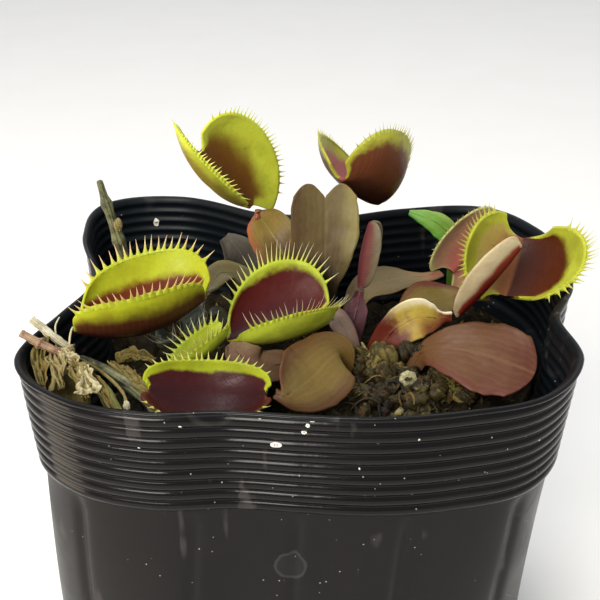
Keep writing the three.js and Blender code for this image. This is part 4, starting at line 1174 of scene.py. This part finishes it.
def build_trap(name, spec):
    """Both lobes as one shell folded at the hinge, which thins out as the fourth power
    of the way to the rim. The points along it lie closer together at the ends, as a
    cosine."""
    rows, half_cols = 96, 22
    u = 0.5 - 0.5 * np.cos(PI * np.linspace(0, 1, rows))
    w = np.linspace(0, 1, half_cols)
    seed = seed_of(name)
    lobes = []
    for side in (0, 1):
        uu, ww = np.meshgrid(u, w, indexing="ij")
        grid, out, *_ = trap_grid(spec, uu, ww, side)
        wobble = 0.14 * rough(uu * 5, ww * 3 + 7 * side, seed, 3) * ww
        lobes.append(grid + out * wobble[..., None])
    grid = np.concatenate([lobes[0][:, ::-1], lobes[1][:, 1:]], 1)
    reach = np.concatenate([w[::-1], w[1:]])
    reach = np.broadcast_to(reach, grid.shape[:2])
    thick = 0.3 - 0.12 * reach ** 4 + 0.15 * np.exp(-(reach / 0.12) ** 2)
    points, quads, normal = shell(grid, thick)
    mouth = trap_grid(spec, np.array([0.5]), np.array([0.0]), 0)[3]
    top_in = float(normal[rows // 2, half_cols - 1] @ mouth) > 0
    n = reach.size
    lobe = np.broadcast_to(np.arange(grid.shape[1]) >= half_cols, grid.shape[:2]).ravel()
    inside = np.concatenate([np.full(n, float(top_in)), np.full(n, float(not top_in))])
    ends = (1 - 1.3 * np.sqrt(np.clip(arch(u), 0, 1)))[:, None] * smooth(reach / 0.35)
    edge = np.maximum(reach, ends)
    both = {"edge": np.tile(edge.ravel(), 2), "inside": inside,
            "along": np.tile(np.repeat(u, grid.shape[1]), 2), "lobe": np.tile(lobe, 2)}
    attach(add_mesh(name, points, quads, trap_material(name, spec), both), name)
    if spec["teeth"]:
        build_teeth(name, spec)
        build_trigger_hairs(name, spec)


def spikes(base, ahead, flat, bend, length, width):
    """Curved tapering spikes, 6 sides by 7 rings. The centre leaves along ahead and
    bends by bend times the distance squared; the radius falls off fast near the
    root and then evenly to the point. flat is the way in which they are thin."""
    n = len(base)
    s, a = np.linspace(0, 1, 7), np.linspace(0, 2 * PI, 6, endpoint=False)
    side = unit(np.cross(ahead, flat))
    flat = np.cross(side, ahead)
    radius = (0.3 + 0.7 * np.exp(-5 * s)) * (1 - 0.93 * s)
    centre = (base[:, None] + ahead[:, None] * (s * length[:, None])[..., None]
              + bend[:, None] * (s ** 2 * length[:, None])[..., None])
    ring = (side[:, None, None] * (np.cos(a) * width[:, None, None] * radius[None, :, None])[..., None]
            + flat[:, None, None] * (0.45 * np.sin(a) * width[:, None, None]
                                     * radius[None, :, None])[..., None])
    grid = centre[:, :, None] + ring
    quads = repeat_quads(grid_quads(7, 6, around=True)[:, ::-1], n, 42)
    return grid.reshape(-1, 3), quads, np.tile(np.repeat(s, 6), n)


def build_teeth(name, spec):
    """A row of teeth along each rim, leaning a little into the trap's mouth. Each leaves
    the rim half square to its edge and half away from the trap's middle, and is as
    thick as its root's share of the gap to the next."""
    count = spec["teeth"]
    local = np.random.default_rng(seed_of(name) + 5)
    points, quads, run, start = [], [], [], 0
    for side in (0, 1):
        u = (np.arange(count) + 0.5 + local.uniform(-0.15, 0.15, count)) / count
        u = 0.02 + 0.96 * u
        rim, out, axis, _, depth = trap_grid(spec, u, np.full(count, 0.97), side)
        inner = trap_grid(spec, u, np.full(count, 0.86), side)[0]
        before, after = (trap_grid(spec, np.clip(u + step, 0, 1), np.full(count, 1.0), side)[0]
                         for step in (-0.02, 0.02))
        edge = unit(after - before)
        ahead = unit(rim - inner)
        square = unit(ahead - edge * np.sum(ahead * edge, -1, keepdims=True))
        radial = unit(rim - (np.array(spec["neck"]) + np.array(spec["tip"])) / 2)
        ahead = unit(0.45 * square + 0.55 * radial)
        length = spec["tooth"] * depth * (0.55 + 0.45 * np.sin(PI * u) ** 0.5) * 1.15
        length = length * local.uniform(0.8, 1.15, count) + 0.15
        gap = np.linalg.norm(after - before, axis=-1) / 0.04 / count
        bend = -out * local.uniform(0.0, 0.25, count)[:, None]
        bend = bend + axis * local.uniform(-0.1, 0.1, count)[:, None]
        if name == "old_trap":
            bend = bend - out * 0.8 + axis * local.uniform(-0.6, 0.6, count)[:, None]
        normal = np.broadcast_to(out, ahead.shape)
        root = spec.get("root", 0.55)
        p, q, s = spikes(rim, ahead, normal, bend, length, np.clip(gap * root, 0.25, root))
        points.append(p)
        quads.append(q + start)
        run.append(s)
        start += len(p)
    material = tooth_material(name + "_teeth", spec["margin"], spec["tips"])
    obj = add_mesh(name + "_teeth", np.concatenate(points), np.concatenate(quads), material,
                   {"along": np.concatenate(run)})
    attach(obj, name)


def build_trigger_hairs(name, spec):
    """Three stiff dark hairs on the inner face of each lobe."""
    u, w = np.array([0.33, 0.5, 0.67]), np.array([0.45, 0.62, 0.45])
    parts = []
    for side in (0, 1):
        root, out, *_ = trap_grid(spec, u, w, side)
        ahead = unit(np.tile(-out, (3, 1)) + 0.2 * unit(root - root.mean(0)))
        flat = np.tile(unit(np.cross(out, [0.3, 0.2, 1.0])), (3, 1))
        p, q, s = spikes(root, ahead, flat, 0.1 * flat, np.full(3, 1.3), np.full(3, 0.11))
        parts.append((p, q, [], {"along": s}))
    material = tooth_material(name + "_trigger_hairs", "#5a2c1c", "#3a1c14")
    join(name + "_trigger_hairs", parts, material, name, ["along"])


def build_stem(name, spec):
    """Stem: rings round a smooth line, roughened at random and fluted as a sine, with a
    bell-shaped swelling at each knot."""
    line = np.array(spec["line"], float)
    rows, cols = 90, 28
    t, a = np.linspace(0, 1, rows), np.linspace(0, 2 * PI, cols, endpoint=False)
    tt, aa = np.meshgrid(t, a, indexing="ij")
    radius = along(spec["radii"], t)[:, None] * (1 + 0.1 * rough(tt * 12, aa, seed_of(name), 3))
    radius = radius * (1 + 0.05 * np.sin(aa * 7 + 4 * tt))
    for knot in spec["knots"]:
        radius = radius + 0.35 * np.exp(-((tt - knot) / 0.035) ** 2)
    radius = radius * np.where((tt < 0.001) | (tt > 0.999), 0.75, 1)
    grid, axis = rings(line, t, radius, cols)
    end = line[-1]
    if "hollow" in spec:
        down = axis[-1] * 2.2
        inner = end + spec["hollow"] * (grid[-1] - end)
        grid = np.concatenate([grid, [inner, inner - down]])
        end, rows = end - down, rows + 2
        aa = np.concatenate([aa, aa[:2]])
    points = np.concatenate([grid.reshape(-1, 3), [line[0]], [end]])
    around = np.concatenate([(aa / (2 * PI)).ravel(), [0, 0]])
    obj = add_mesh(name, points, grid_quads(rows, cols, around=True),
                   stem_material(name, spec["colours"]), {"around": around}, end_caps(rows, cols))
    attach(obj, name)


# ------------------------------------------------------------------------ build

build_pot()
build_mix()
build_moss()
build_litter()
build_specks()
for key, blade_spec in BLADES.items():
    build_blade(key, blade_spec)
for key, trap_spec in TRAPS.items():
    build_trap(key, trap_spec)
for key, stem_spec in STEMS.items():
    build_stem(key, stem_spec)

# ------------------------------------------------------- floor, light and camera

table = add_mesh("floor", [[-3000, -3000, -0.02], [3000, -3000, -0.02], [3000, 3000, -0.02],
                           [-3000, 3000, -0.02]], [[0, 1, 2, 3]], table_material())


def area_light(name, place, target, size, power, colour):
    """Soft square light at a place in mm, turned towards a target."""
    data = bpy.data.lights.new(name, "AREA")
    data.size, data.energy, data.color = size * MM, power, linear(colour)[:3]
    lamp = bpy.data.objects.new(name, data)
    lamp.location = Vector(place) * MM
    lamp.rotation_euler = (Vector(target) - Vector(place)).to_track_quat("-Z", "Y").to_euler()
    bpy.context.scene.collection.objects.link(lamp)


# Studio light: a large soft one from the front left, one from above, and a low warm one.
area_light("key", (-190, -430, 380), (0, 0, 70), 240, 3.1, "#fffaf0")
area_light("top", (-60, 120, 620), (0, 0, 80), 260, 1.4, "#ffffff")
area_light("left_low", (-420, -120, 60), (0, 0, 40), 200, 0.9, "#f0dcc0")

world = bpy.data.worlds.new("studio")
world.use_nodes = True
world.node_tree.nodes["Background"].inputs[0].default_value = linear("#f4f6fa")
world.node_tree.nodes["Background"].inputs[1].default_value = 0.72
scene = bpy.context.scene
scene.world = world
scene.view_settings.view_transform = "Standard"

# The camera stands in front of the pot and looks down at it by CAMERA_TILT degrees.
CAMERA_TILT = 26.4
camera_data = bpy.data.cameras.new("camera")
camera_data.sensor_width = 36.0
camera_data.lens = 69.0
camera_data.clip_start = 0.01
camera = bpy.data.objects.new("camera", camera_data)
camera.location = (0, -0.1781, 0.166)
camera.rotation_euler = (math.radians(90 - CAMERA_TILT), 0, 0)
scene.collection.objects.link(camera)
scene.camera = camera

bpy.context.view_layer.update()
